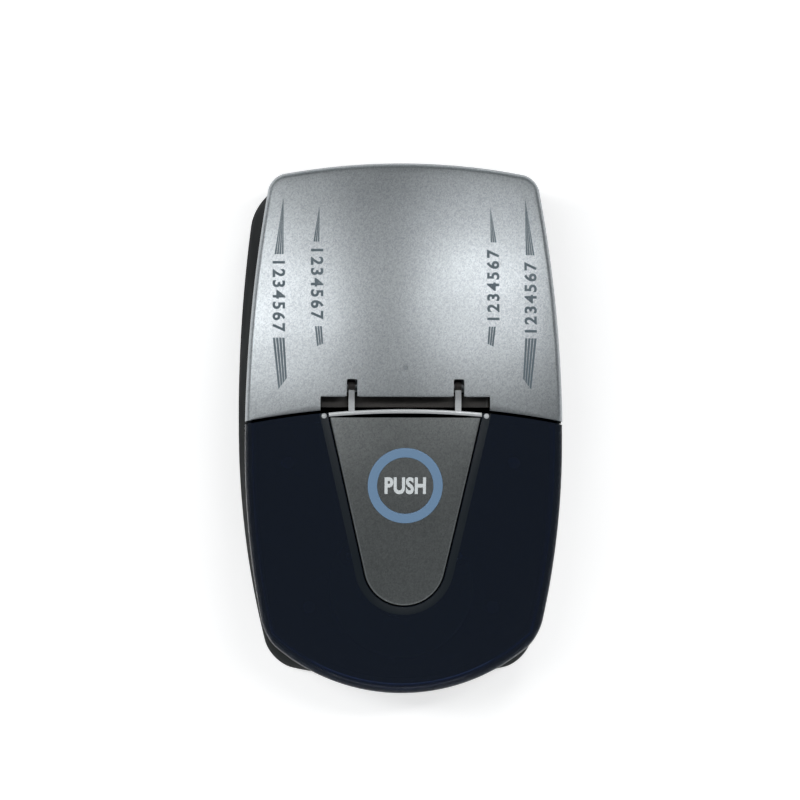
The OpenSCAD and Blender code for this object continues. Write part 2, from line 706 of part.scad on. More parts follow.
// Tongue-shaped button with its ring groove, stem and guides
module test_button() color("#8d9294") {
    top = function (x, y) crown(x, y) - tongue_recess;
    side = function (x, y) crown(x, y) - tongue_recess - tongue_edge;
    low = function (x, y) crown(x, y) - tongue_recess - tongue_t;
    at = function (level, k, z) ring(tongue_depth, tongue_mid, level, k, tongue_steps, z);
    c = tongue_mid;
    stem_end = plunger_top + move_play;
    difference() {
        union() {
            ring_solid([c[0], c[1], top(c[0], c[1])],
                [at(tongue_edge, 0.4, top), at(tongue_edge, 0.75, top), at(tongue_edge, 1, top), at(0, 1, side),
                    at(0, 1, low), at(0, 0.5, low)],
                [c[0], c[1], low(c[0], c[1])], false);
            peg([0, ring_y], stem_end, low(0, ring_y) + bite, stem_r);
            for (p = guide_points) peg(p, crown(p[0], p[1]) - tray_drop - tray_t - guide_reach,
                low(p[0], p[1]) + bite, guide_r);
        }
        crown_ring(ring_y, ring_id / 2 - seat_play, ring_od / 2 + seat_play, tongue_recess - over,
            over + ring_t - ring_proud + seat_play);
    }
}

// Ring let into the top of the button
module button_ring() color("#9fc6e8")
    crown_ring(ring_y, ring_id / 2, ring_od / 2, tongue_recess - ring_proud, ring_t);

// Return spring round the stem, drawn as its closed outline
module button_spring() color("#c9ccce") {
    inner = stem_r + 0.5;
    outer = inner + 0.7;
    z0 = crown(0, ring_y + outer) - tray_drop + seat_play;
    z1 = crown(0, ring_y - outer) - tongue_recess - tongue_t - seat_play;
    difference() {
        peg([0, ring_y], z0, z1, outer);
        peg([0, ring_y], z0 - over, z1 + over, inner);
    }
}

// Plunger in the roof of the switch tower, pressed by the button stem
module switch_plunger() color("#e8e6df") {
    peg([0, ring_y], flange_top - flange_t / 2, plunger_top, plunger_r);
    peg([0, ring_y], flange_top - flange_t, flange_top, flange_r);
}

// Plan of the deck inside the base wall
module deck_plan() intersection() {
    polygon([for (q = ring(base_depth, [0, 0], wall + seat_play, 1, shell_steps, function (x, y) 0))
        [q[0], q[1]]]);
    translate([-case_w, deck_rear_y - case_l]) square([2 * case_w, case_l]);
}

// Deck of the test chamber with the bulkhead and the switch tower
module test_deck() color("#2b2f31") difference() {
    union() {
        translate([0, 0, deck_under]) linear_extrude(deck_t) deck_plan();
        block([-bulkhead_half, deck_rear_y - tower_wall, deck_top - bite],
            [bulkhead_half, deck_rear_y, bulkhead_top]);
        difference() {
            block([-tower_half, tower_front_y, deck_under], [tower_half, deck_rear_y - bite, tower_top]);
            block([-tower_half + tower_wall, tower_front_y + tower_wall, deck_under - over],
                [tower_half - tower_wall, deck_rear_y - tower_wall, tower_roof]);
        }
        for (p = switch_posts) peg(p, switch_board_top, tower_roof + bite, small_screw_r + 1);
    }
    block([-tower_half + tower_wall, tower_front_y + tower_wall, deck_under - over],
        [tower_half - tower_wall, deck_rear_y - tower_wall, deck_top + over]);
    peg([0, ring_y], tower_roof - over, tower_top + over, plunger_r + move_play);
    peg([0, stage_y], deck_under - over, deck_top + over, light_r);
    for (p = deck_posts) peg(p, deck_under - over, deck_top + over, small_screw_r + seat_play);
    for (p = switch_posts) peg(p, switch_board_top - over, switch_board_top + small_pilot,
        small_screw_r + screw_play);
}

// Soft pad on the deck that a stone or a ring is laid on, kept inside the plan of the deck
module stage_pad() color("#5d6a2c") difference() {
    intersection() {
        peg([0, stage_y], deck_top, deck_top + pad_t, pad_r);
        translate([0, 0, deck_top - over]) linear_extrude(pad_t + 2 * over) deck_plan();
    }
    peg([0, stage_y], deck_top - over, deck_top + pad_t + over, window_r + seat_play);
}

// Glass window in the middle of the pad
module stage_window() color("#cfe6ea") peg([0, stage_y], deck_top, deck_top + window_t, window_r);

// Holder of the lamps and the filter between the sensor board and the deck
module lamp_holder() color("#1d1f20") difference() {
    peg([0, stage_y], sensor_board_top, deck_under, holder_r);
    peg([0, stage_y], sensor_board_top - over, deck_under + over, filter_r - 0.8);
    peg([0, stage_y], filter_z, deck_under + over, filter_r + seat_play);
    for (s = [-1, 1]) peg([s * lamp_x, stage_y], sensor_board_top - over, deck_under + over,
        lamp_r + seat_play);
}

// Domed lamps that light the stone from below
module test_lamps() color("#c8d4f0") for (s = [-1, 1]) translate([s * lamp_x, stage_y, sensor_board_top]) {
    lamp_top = deck_under - sensor_board_top - move_play;
    dome_r = 1.35 * lamp_r;
    intersection() {
        cylinder(r = lamp_r, h = lamp_top);
        translate([0, 0, lamp_top - dome_r]) sphere(r = dome_r);
        translate([0, 0, lamp_leg]) cylinder(r = 2 * lamp_r, h = lamp_top);
    }
    for (x = [-1, 1]) translate([1.27 * x, 0, 0]) cylinder(r = 0.3, h = lamp_leg + bite);
}

// Filter glass over the sensor
module optical_filter() color("#3a2c66") peg([0, stage_y], filter_z, filter_z + filter_t, filter_r);

// Light sensor on its board
module photo_sensor() color("#303438") translate([0, stage_y, sensor_board_top + sensor_size / 4])
    cube([sensor_size, sensor_size, sensor_size / 2], center = true);

// Board under the stage
module sensor_board() color("#1f6b3c") difference() {
    block([-sensor_half[0], stage_y - sensor_half[1], sensor_board_z],
        [sensor_half[0], stage_y + sensor_half[1], sensor_board_top]);
    for (p = sensor_posts) peg(p, 0, base_h, small_screw_r + seat_play);
}

// Board in the rear half, with a neck under the pinhole
module main_board() color("#1f6b3c") difference() {
    union() {
        block([-main_half, main_y[0], main_board_z], [main_half, main_y[1], main_board_top]);
        block([-board_neck_half, board_neck_y, main_board_z],
            [board_neck_half, main_y[0] + bite, main_board_top]);
    }
    for (p = main_posts) peg(p, 0, case_h, small_screw_r + seat_play);
}

// Chips and coils on the main board
module board_chips() color("#22262a") for (q = chips)
    translate([q[0], board_y + q[1], main_board_top + q[4] / 2])
        cube([q[2], q[3], q[4]], center = true);

// Small lamp under the light guide
module indicator_lamp() color("#d9e6c8")
    peg([0, pinhole_y], main_board_top, main_board_top + lamp_body[1], lamp_body[0]);

// Clear pin that carries the light of the small lamp to the cover
module light_guide() color("#e4eef2") {
    roof = crown(0, pinhole_y) - wall;
    peg([0, pinhole_y], guide_end, crown(0, pinhole_y) - seat_play, guide_pin_r);
    peg([0, pinhole_y], roof - seat_play - guide_flange[1], roof - seat_play, guide_flange[0]);
}

// Round sounder on the main board
module buzzer() color("#151719") difference() {
    peg(buzzer_at, main_board_top, main_board_top + buzzer_size[1], buzzer_size[0]);
    peg(buzzer_at, main_board_top + buzzer_size[1] - 2, main_board_top + buzzer_size[1] + over, 1);
}

// Bracket under the cover whose ears hold the hinge pin
module hinge_bracket() color("#b9bdc0") {
    inner_x = arm_x - arm_w / 2 - ear_gap - ear_widths[0];
    outer_x = arm_x + arm_w / 2 + ear_gap;
    difference() {
        union() {
            block([-bracket_half, bracket_y[0], bracket_top - bracket_t],
                [bracket_half, bracket_y[1], bracket_top]);
            for (p = boss_points) peg(p, bracket_top - bracket_t, bracket_top, small_screw_r + post_wall);
            for (s = [0, 1], e = [[inner_x, ear_widths[0]], [outer_x, ear_widths[1]]]) mirror([s, 0, 0]) {
                translate([e[0], hinge_y, hinge_z]) rotate([0, 90, 0]) cylinder(r = eye_r, h = e[1]);
                block([e[0], hinge_y - ear_half, bracket_top - bite],
                    [e[0] + e[1], hinge_y + ear_half, hinge_z]);
            }
        }
        hinge_rod(case_w / 2, pin_r + pin_play);
        for (p = boss_points) peg(p, 0, case_h, small_screw_r + seat_play);
    }
}

// Steel pin of the hinge
module hinge_pin() color("#d0d3d5") hinge_rod(pin_half, pin_r);

// Screws of the bracket
module bracket_screws() color("#9a9da0") for (p = boss_points)
    screw(p, bracket_top - bracket_t, true, bracket_t + small_grip, small_screw_r, small_head_r, small_head_t);

// Box over the cells, open towards the battery door
module battery_tray() color("#2b2f31") difference() {
    block([-bay_half - tray_wall, bay_y[0] - tray_wall, floor_top],
        [bay_half + tray_wall, bay_y[1] + tray_wall, bay_top + tray_wall]);
    block([-bay_half, bay_y[0], floor_top - over], [bay_half, bay_y[1], bay_top]);
}

// Cells laid side by side, turned end for end in pairs
module battery_cells() color("#3d6f58") for (i = [0 : cell_count - 1])
    translate([cell_xs[i], cell_y, cell_z]) rotate([i % 2 == 0 ? 90 : -90, 0, 0]) {
        translate([0, 0, -cell_l / 2]) cylinder(r = cell_r, h = cell_l - cell_nub[1]);
        cylinder(r = cell_nub[0], h = cell_l / 2);
    }

// Contact plates with their bumps at both ends of each cell
module battery_contacts() color("#d6d2c4") {
    plate = 0.4;
    half = cell_r - 1;
    end = cell_l / 2 + contact_room;
    for (x = cell_xs, s = [0, 1]) translate([x, cell_y, cell_z]) mirror([0, s, 0]) {
        block([-half, end - plate, -half], [half, end, half]);
        translate([0, end - plate / 2, 0]) rotate([90, 0, 0])
            cylinder(r = half / 2, h = contact_room - plate / 2 - seat_play);
    }
}

// Battery door flush with the underside, with grip grooves
module battery_door() color("#262b2e") difference() {
    block([-door_half, door_y[0], foot_h], [door_half, door_y[1], foot_h + door_t]);
    for (i = [0 : grip_count - 1]) translate([-grip_half, door_y[1] - 6 - 2 * grip_w * i, 0])
        cube([2 * grip_half, grip_w, foot_h + door_t / 3]);
}

// Rubber feet in their pockets
module rubber_feet() color("#1a1b1c") for (p = feet) peg(p, 0, foot_h + foot_pocket, foot_r);

// Screws that join the base to the cover
module case_screws() color("#9a9da0") for (p = case_posts)
    screw(p, case_seat_z, true, cover_post_z + pilot_depth - over - case_seat_z, case_screw_r, case_head_r,
        case_head_t);

// Screws of the two boards
module board_screws() color("#9a9da0") {
    for (p = main_posts) screw(p, main_board_top, false, board_t + small_grip, small_screw_r,
        small_head_r, small_head_t);
    for (p = sensor_posts) screw(p, sensor_board_top, false, board_t + small_grip, small_screw_r,
        small_head_r, small_head_t);
}

// Screws that hold the deck on its posts
module deck_screws() color("#9a9da0") for (p = deck_posts)
    screw(p, deck_top, false, deck_t + small_grip, small_screw_r, small_head_r, small_head_t);

// Round power inlet in the rear wall
module power_socket() color("#17191a") translate([socket_x, 0, socket_z]) {
    nose_y = rear_wall(socket_x) - 0.3;
    half = [socket_body[0] / 2, socket_body[2] / 2];
    difference() {
        union() {
            block([-half[0], socket_face_y - socket_body[1], -half[1]], [half[0], socket_face_y, half[1]]);
            rod_forward(nose_y, socket_nose_r, nose_y - socket_face_y + bite);
        }
        rod_forward(nose_y + over, socket_bore_r, socket_bore_l + over);
    }
    rod_forward(nose_y - 1, socket_pin_r, socket_bore_l);
}

// Body of the slide switch behind the rear wall
module switch_case() color("#3a3e40") difference() {
    half = (slide_travel + slide_knob[0]) / 2 + move_play;
    block([slide_x - slide_case[0] / 2, slide_face_y - slide_case[1], slide_z - slide_case[2] / 2],
        [slide_x + slide_case[0] / 2, slide_face_y, slide_z + slide_case[2] / 2]);
    block([slide_x - half, slide_face_y - slide_reach - move_play, slide_z - slide_knob[1] / 2 - move_play],
        [slide_x + half, slide_face_y + over, slide_z + slide_knob[1] / 2 + move_play]);
}

// Thumb piece of the slide switch
module power_slider() color("#d8dadb") {
    x0 = slide_x - (slide_travel + slide_knob[0]) / 2;
    block([x0, slide_face_y - slide_reach, slide_z - slide_knob[1] / 2],
        [x0 + slide_knob[0], rear_wall(slide_x) + 0.5, slide_z + slide_knob[1] / 2]);
}

// Push switch under the plunger
module test_switch() color("#2e3235") {
    block([-switch_body[0] / 2, ring_y - switch_body[1] / 2, switch_board_top],
        [switch_body[0] / 2, ring_y + switch_body[1] / 2, switch_board_top + switch_body[2]]);
    peg([0, ring_y], switch_board_top + switch_body[2] / 2, actuator_top, actuator_r);
}

// Small board that carries the push switch in the tower
module switch_board() color("#1f6b3c") difference() {
    block([-switch_board_half, switch_board_front_y, switch_board_top - switch_board_t],
        [switch_board_half, switch_board_rear_y, switch_board_top]);
    for (p = switch_posts) peg(p, 0, case_h, small_screw_r + seat_play);
}

// Screws of the switch board
module switch_screws() color("#9a9da0") for (p = switch_posts)
    screw(p, switch_board_top - switch_board_t, true, switch_board_t + small_grip, small_screw_r,
        small_head_r, small_head_t);

base_shell();
rear_cover();
test_deck();
stage_pad();
stage_window();
lamp_holder();
test_lamps();
optical_filter();
photo_sensor();
sensor_board();
main_board();
board_chips();
indicator_lamp();
light_guide();
buzzer();
hinge_bracket();
hinge_pin();
battery_tray();
battery_cells();
battery_contacts();
rubber_feet();
case_screws();
board_screws();
deck_screws();
bracket_screws();
power_socket();
switch_case();
test_switch();
switch_board();
switch_screws();
shield_lid();
hinge_arms();
button_tray();
tray_screws();
button_spring();
test_button();
button_ring();
switch_plunger();
battery_door();
power_slider();
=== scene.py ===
"""Looks of a diamond tester: fine shells, prints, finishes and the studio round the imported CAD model."""

import logging
from collections.abc import Callable, Sequence
from dataclasses import dataclass
from enum import Enum
from math import radians

import bmesh
import bpy
import numpy as np
from mathutils import Matrix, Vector
from numpy.typing import NDArray

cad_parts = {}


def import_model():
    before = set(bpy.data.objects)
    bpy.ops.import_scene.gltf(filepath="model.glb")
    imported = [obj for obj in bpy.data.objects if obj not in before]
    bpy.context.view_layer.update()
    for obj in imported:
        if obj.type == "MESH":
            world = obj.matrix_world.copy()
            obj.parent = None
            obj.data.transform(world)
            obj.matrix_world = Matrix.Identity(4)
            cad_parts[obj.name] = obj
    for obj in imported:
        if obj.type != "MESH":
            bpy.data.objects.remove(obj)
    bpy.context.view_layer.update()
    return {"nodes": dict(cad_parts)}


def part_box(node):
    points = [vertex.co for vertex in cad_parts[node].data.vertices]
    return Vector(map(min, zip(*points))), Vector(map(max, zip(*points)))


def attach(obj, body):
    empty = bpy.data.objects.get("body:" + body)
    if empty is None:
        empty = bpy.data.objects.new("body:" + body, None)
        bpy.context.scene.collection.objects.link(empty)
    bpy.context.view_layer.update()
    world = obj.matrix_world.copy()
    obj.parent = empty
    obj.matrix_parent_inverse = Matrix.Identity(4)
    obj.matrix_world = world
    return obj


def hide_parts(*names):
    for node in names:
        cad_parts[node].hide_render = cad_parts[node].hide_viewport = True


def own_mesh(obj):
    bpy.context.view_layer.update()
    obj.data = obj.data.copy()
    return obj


Array = NDArray[np.float64]
Depth = Callable[[Array, Array], Array]
LOG = logging.getLogger("diamond_tester")

# All sizes are in millimetres and turn to metres where a mesh is filled
MM = 0.001
WELD = 1e-6
SHARP_DEG = 34.0
# Steps of each search by halving, and the length of its rays
HALVINGS = 36
RAY_LENGTH = 130.0


def linear(hex_colour: str) -> tuple[float, float, float, float]:
    """Turn an sRGB hex colour into linear RGBA."""
    parts = [int(hex_colour[i:i + 2], 16) / 255 for i in (1, 3, 5)]
    flat = [p / 12.92 if p <= 0.04045 else ((p + 0.055) / 1.055) ** 2.4 for p in parts]
    return flat[0], flat[1], flat[2], 1.0


def share(t: Array) -> Array:
    """Clip to the range from 0 to 1."""
    return np.clip(t, 0.0, 1.0)


def ramp(t: Array) -> Array:
    """Smooth step from 0 to 1."""
    return t * t * (3 - 2 * t)


def round_min(a: Array, b: Array, r: float) -> Array:
    """Lesser of two depths, with radius r where both are small."""
    corner = (a < r) & (b < r)
    return np.where(corner, r - np.hypot(r - a, r - b), np.minimum(a, b))


# Meshes

def link(name: str, data: bpy.types.ID) -> bpy.types.Object:
    """Put an object that holds some data into the scene, at the origin."""
    thing = bpy.data.objects.new(name, data)
    bpy.context.scene.collection.objects.link(thing)
    return thing


def final_mesh(thing: bpy.types.Object) -> bpy.types.Mesh:
    """New mesh of an object with its modifiers applied."""
    return bpy.data.meshes.new_from_object(thing.evaluated_get(bpy.context.evaluated_depsgraph_get()))


def put_mesh(name: str, points: Array, quads: NDArray[np.int64]) -> bpy.types.Object:
    """Fill a mesh with points and four-sided faces, weld it and shade it.

    Args:
        name: Name of the piece.
        points: Places in millimetres, one row each.
        quads: Corner numbers, four to a face. Corners that fall together are welded.

    Returns:
        The new object, at the origin.
    """
    mesh = bpy.data.meshes.new(name)
    mesh.vertices.add(len(points))
    mesh.vertices.foreach_set("co", (points * MM).ravel())
    mesh.loops.add(quads.size)
    mesh.loops.foreach_set("vertex_index", quads.ravel())
    mesh.polygons.add(len(quads))
    mesh.polygons.foreach_set("loop_start", np.arange(0, quads.size, 4))
    mesh.update(calc_edges=True)
    piece = link(name, mesh)
    settle(piece)
    return piece


def settle(piece: bpy.types.Object, sharp: float = SHARP_DEG) -> None:
    """Weld a mesh, turn its faces outwards and smooth it up to a sharp angle in degrees."""
    work = bmesh.new()
    work.from_mesh(piece.data)
    bmesh.ops.remove_doubles(work, verts=work.verts, dist=WELD)
    bmesh.ops.dissolve_degenerate(work, edges=work.edges, dist=WELD / 10)
    bmesh.ops.recalc_face_normals(work, faces=work.faces)
    work.to_mesh(piece.data)
    work.free()
    piece.data.shade_smooth()
    piece.data.set_sharp_from_angle(angle=radians(sharp))


def grid_quads(nu: int, nv: int, wrap_u: bool, wrap_v: bool) -> NDArray[np.int64]:
    """Corner numbers of the faces of a grid of nu by nv points, which may close on itself either way."""
    i = np.arange(nu if wrap_u else nu - 1)[:, None]
    j = np.arange(nv if wrap_v else nv - 1)[None, :]
    k = (i + 1) % nu
    m = (j + 1) % nv
    return np.stack([i * nv + j, k * nv + j, k * nv + m, i * nv + m], axis=-1).reshape(-1, 4)


def ladder_quads(column: int, nv: int) -> NDArray[np.int64]:
    """Corner numbers of the rungs that close one end of a band, pairing its first row with its last."""
    k = column * nv + np.arange(nv // 2 - 1)
    far = column * nv + nv - 1 - np.arange(nv // 2 - 1)
    return np.stack([k, k + 1, far - 1, far], axis=-1)


def band_piece(name: str, rows: Sequence[Array], closed: bool, folded: bool = False) -> bpy.types.Object:
    """Closed skin whose cross-section is a loop of rows: the outer rows first, then the inner ones back.

    Args:
        name: Name of the piece.
        rows: Rows of places along the band, each of the same length.
        closed: True where the band runs round into its own start, else both ends get rungs.
        folded: True where the first and the last row lie on one shared line or pole.

    Returns:
        The new object.
    """
    grid = np.stack(rows, axis=1)
    nu, nv = grid.shape[:2]
    faces = [grid_quads(nu, nv, closed, not folded)]
    if not closed:
        faces += [ladder_quads(0, nv), ladder_quads(nu - 1, nv)]
    return put_mesh(name, grid.reshape(-1, 3), np.concatenate(faces))


class Axis(Enum):
    """Way in which a bar or a cut runs."""

    UP = (0, 1, 2)
    REAR = (0, 2, 1)
    ACROSS = (2, 0, 1)


def bars(name: str, shapes: Sequence[tuple[Array, float, float]], axis: Axis = Axis.UP) -> bpy.types.Object:
    """Straight closed bars: each loop of places in a plane, carried from one level to another.

    Args:
        name: Name of the piece.
        shapes: Loop of places, first level and last level of each bar.
        axis: Way in which the bars run.

    Returns:
        One object that holds all the bars.
    """
    points: list[Array] = []
    faces: list[list[int]] = []
    start = 0
    for loop, low, high in shapes:
        n = len(loop)
        rows = [np.column_stack([loop, np.full(n, level)]) for level in (low, high)]
        points += rows
        ring = np.arange(n)
        sides = np.stack([ring, (ring + 1) % n, (ring + 1) % n + n, ring + n], axis=-1) + start
        faces += sides.tolist()
        faces += [(ring + start).tolist(), (ring + n + start).tolist()]
        start += 2 * n
    places = np.concatenate(points)[:, list(axis.value)] * MM
    mesh = bpy.data.meshes.new(name)
    mesh.from_pydata(places.tolist(), [], faces)
    piece = link(name, mesh)
    settle(piece)
    return piece


def circle(x: float, y: float, r: float, n: int = 64) -> Array:
    """Loop of n places on a circle."""
    a = np.linspace(0, 2 * np.pi, n, endpoint=False)
    return np.column_stack([x + r * np.cos(a), y + r * np.sin(a)])


def rounded(x0: float, y0: float, x1: float, y1: float, r: float, n: int = 6) -> Array:
    """Loop of a rectangle with corners of radius r, each drawn with n steps."""
    turn = np.linspace(0, np.pi / 2, n + 1)
    corners = [(x1 - r, y1 - r, 0.0), (x0 + r, y1 - r, 0.5), (x0 + r, y0 + r, 1.0), (x1 - r, y0 + r, 1.5)]
    loops = [(x + r * np.cos(turn + s * np.pi), y + r * np.sin(turn + s * np.pi)) for x, y, s in corners]
    return np.concatenate([np.column_stack(loop) for loop in loops])


def carve(piece: bpy.types.Object, tool: bpy.types.Object, way: str) -> None:
    """Cut a tool out of a piece, or fuse it on, and throw the tool away.

    Args:
        piece: Piece that is changed.
        tool: Closed mesh.
        way: Blender's word for the operation, DIFFERENCE or UNION.
    """
    change = piece.modifiers.new("carve", "BOOLEAN")
    change.operation = way
    change.solver = "EXACT"
    change.object = tool
    result = final_mesh(piece)
    piece.modifiers.clear()
    old = piece.data
    piece.data = result
    bpy.data.meshes.remove(old)
    spare = tool.data
    bpy.data.objects.remove(tool)
    bpy.data.meshes.remove(spare)
    settle(piece)


# Forms

@dataclass(frozen=True)
class CaseForm:
    """Plan, crown and levels of the case, as in the CAD source."""

    length: float = 160.0
    width: float = 95.6
    height: float = 45.0
    wide_y: float = 6.0
    side_rear_r: float = 450.0
    side_front_r: float = 265.0
    rear_r: float = 215.0
    front_r: float = 59.0
    rear_corner_r: float = 4.0
    front_corner_r: float = 2.7
    wall: float = 2.2
    crown_y: float = 13.0
    crown_cross_r: float = 180.0
    crown_rear_r: float = 400.0
    crown_front_r: float = 260.0
    base_h: float = 22.0
    base_inset: float = 0.4
    base_flare: float = 2.2
    rear_flare: float = 2.0
    toe_inset: float = 3.0
    toe_r: float = 150.0
    toe_corner_r: float = 6.0
    heel_corner_r: float = 11.0
    lip_reach: float = 1.8
    lip_start: float = 30.0
    lip_ramp: float = 20.0
    floor_t: float = 2.2
    foot_h: float = 1.0
    seam_y: float = 6.3
    seam_r: float = 260.0
    seam_gap: float = 0.9

    def side_depth(self, x: Array, y: Array) -> Array:
        """Depth inside the side arcs."""
        r = np.where(y > -self.wide_y, self.side_rear_r, self.side_front_r)
        return r - np.hypot(np.abs(x) - self.width / 2 + r, y + self.wide_y)

    def rear_depth(self, x: Array, y: Array) -> Array:
        """Depth inside the rear arc."""
        return self.rear_r - np.hypot(x, y - self.length / 2 + self.rear_r)

    def front_depth(self, x: Array, y: Array, r: float, inset: float) -> Array:
        """Depth inside a front arc of a radius that stands back by an inset."""
        middle = r + inset - self.length / 2
        return np.where(y < middle, r - np.hypot(x, y - middle), self.length)

    def plan_depth(self, x: Array, y: Array) -> Array:
        """Depth inside the plan: side arcs, rear arc and front arc, blended at their corners."""
        rear = round_min(self.side_depth(x, y), self.rear_depth(x, y), self.rear_corner_r)
        return round_min(rear, self.front_depth(x, y, self.front_r, 0.0), self.front_corner_r)

    def rim_depth(self, x: Array, y: Array) -> Array:
        """Depth inside the base's rim: the plan less an inset, which grows to a finger lip at the front."""
        lip = ramp(share((self.lip_start - self.length / 2 - y) / self.lip_ramp))
        return self.plan_depth(x, y) - self.base_inset - self.lip_reach * lip

    def foot_depth(self, x: Array, y: Array) -> Array:
        """Depth inside the lower edge of the base: flared sides, and fuller corners than those of the rim."""
        flare = self.base_flare + 2 * self.rear_flare * y / self.length
        side = self.side_depth(x, y) - self.base_inset + flare
        rear = round_min(side, self.rear_depth(x, y) - self.base_inset, self.heel_corner_r)
        return round_min(rear, self.front_depth(x, y, self.toe_r, self.toe_inset), self.toe_corner_r)

    def crown(self, x: Array, y: Array) -> Array:
        """Height of the crown: an arc across, turned about a cross axis with one radius to each end."""
        r = np.where(y > self.crown_y, self.crown_rear_r, self.crown_front_r)
        cross = r - self.crown_cross_r + np.sqrt(self.crown_cross_r ** 2 - x * x)
        return self.height - r + np.sqrt(cross ** 2 - (y - self.crown_y) ** 2)

    def outline(self, ask: Depth, level: float, angle: Array) -> tuple[Array, Array]:
        """Places at a level of a depth function, found by halving along rays from the origin.

        Args:
            ask: Depth function.
            level: Depth that is looked for.
            angle: Direction of each ray in radians.

        Returns:
            X and Y of the places.
        """
        low = np.zeros_like(angle)
        high = np.full_like(angle, RAY_LENGTH)
        for _ in range(HALVINGS):
            mid = (low + high) / 2
            inside = ask(mid * np.cos(angle), mid * np.sin(angle)) > level
            low = np.where(inside, mid, low)
            high = np.where(inside, high, mid)
        return low * np.cos(angle), low * np.sin(angle)

    def seam(self, x: Array, out: float) -> Array:
        """Y of the seam arc, moved outwards along its radius."""
        return self.seam_y - self.seam_r + np.sqrt((self.seam_r + out) ** 2 - x * x)

    def seam_angle(self, level: float, out: float) -> float:
        """Direction in which the plan at a level meets the right end of the seam, found by halving."""
        low, high = -0.2, 0.2
        for _ in range(HALVINGS):
            mid = (low + high) / 2
            x, y = self.outline(self.plan_depth, level, np.array([mid]))
            low, high = (mid, high) if y[0] < self.seam(x, out)[0] else (low, mid)
        return low

    def crown_at(self, x: float, y: float) -> float:
        """Height of the crown at one place."""
        return float(self.crown(np.array(x), np.array(y)))

    def seam_at(self, x: float, out: float) -> float:
        """Y of the seam arc at one place."""
        return float(self.seam(np.array(x), out))

    @property
    def case_posts(self) -> list[tuple[float, float]]:
        """Places of the case screws: a pair behind the seam and a pair at the rear."""
        half = self.width / 2
        pairs = ((half - 10.2, self.seam_y + 13.7), (half - 13.2, self.length / 2 - 15))
        return [(side * x, y) for side in (-1, 1) for x, y in pairs]


FORM = CaseForm()


def place(x: Array, y: Array, z: Array | float) -> Array:
    """Row of places from three columns."""
    return np.column_stack([x, y, np.broadcast_to(z, x.shape)])


def shell_rows(angles: Callable[[float], Array], rim: float, edge: float, shoulder: float,
               fillet: float) -> tuple[list[Array], list[Array]]:
    """Rows of a rolled shoulder and straight side, outside and inside, from the crown's edge down to the rim.

    The shoulder is a quarter circle: at turn t the plan lies r(1 - sin t) inside and the height falls by
    r(1 - cos t).

    Args:
        angles: Directions of the places for a level.
        rim: Height of the rim.
        edge: Radius of the rim's edges.
        shoulder: Radius of the shoulder.
        fillet: Radius inside the shoulder.

    Returns:
        Outer rows and the inner rows that pair with them.
    """
    r, wall = shoulder, FORM.wall
    outer: list[Array] = []
    inner: list[Array] = []
    for t in np.radians(np.linspace(6, 90, 14)):
        for rows, start, size in ((outer, 0.0, r), (inner, wall, fillet)):
            level = start + size * (1 - np.sin(t))
            x, y = FORM.outline(FORM.plan_depth, level, angles(level))
            rows.append(place(x, y, FORM.crown(x, y) - start - size * (1 - np.cos(t))))
    for f in (0.25, 0.5, 0.75, 1.0):
        for rows, level, drop in ((outer, 0.0, r), (inner, wall, wall + fillet)):
            x, y = FORM.outline(FORM.plan_depth, level, angles(level))
            top = FORM.crown(x, y) - drop
            rows.append(place(x, y, top + (rim + edge - top) * f))
    for turn in np.radians((30, 60, 90)):
        for rows, level in ((outer, edge * (1 - np.cos(turn))), (inner, wall - edge * (1 - np.cos(turn)))):
            x, y = FORM.outline(FORM.plan_depth, level, angles(level))
            rows.append(place(x, y, rim + edge * (1 - np.sin(turn))))
    return outer, inner


@dataclass(frozen=True)
class TongueForm:
    """Outline of the tongue: a round tip and two straight sides that lean outwards."""

    tip_y: float = -40.8
    tip_r: float = 12.2
    rear_half: float = 22.6
    rear_y: float = 3.4
    gap: float = 0.35
    side_steps: int = 120
    tip_steps: int = 150

    @property
    def lean(self) -> float:
        """Lean of the straight sides in radians."""
        dx, dy = self.rear_half, self.rear_y - self.tip_y
        return float(np.arccos(self.tip_r / np.hypot(dx, dy)) - np.arctan2(dy, dx))

    def half(self, y: float, grow: float) -> float:
        """Half width of the outline at a place, grown outwards."""
        return float((self.tip_r + grow + (y - self.tip_y) * np.sin(self.lean)) / np.cos(self.lean))

    def path(self, grow: float, end: Callable[[float], float]) -> tuple[Array, Array]:
        """Places from the right rear corner round the tip to the left rear corner.

        Args:
            grow: How far the outline is moved outwards.
            end: Y of the rear corner for its X.

        Returns:
            X and Y of the places.
        """
        r = self.tip_r + grow
        y = self.rear_y
        for _ in range(6):
            y = end(self.half(y, grow))
        s = np.linspace(0, 1, self.side_steps, endpoint=False)
        near_x, near_y = r * np.cos(self.lean), self.tip_y - r * np.sin(self.lean)
        side_x = self.half(y, grow) + (near_x - self.half(y, grow)) * s
        side_y = y + (near_y - y) * s
        a = -self.lean - (np.pi - 2 * self.lean) * np.linspace(0, 1, self.tip_steps + 1)
        return (np.concatenate([side_x, r * np.cos(a), -side_x[::-1]]),
                np.concatenate([side_y, self.tip_y + r * np.sin(a), side_y[::-1]]))


TONGUE = TongueForm()


# Sub-assemblies

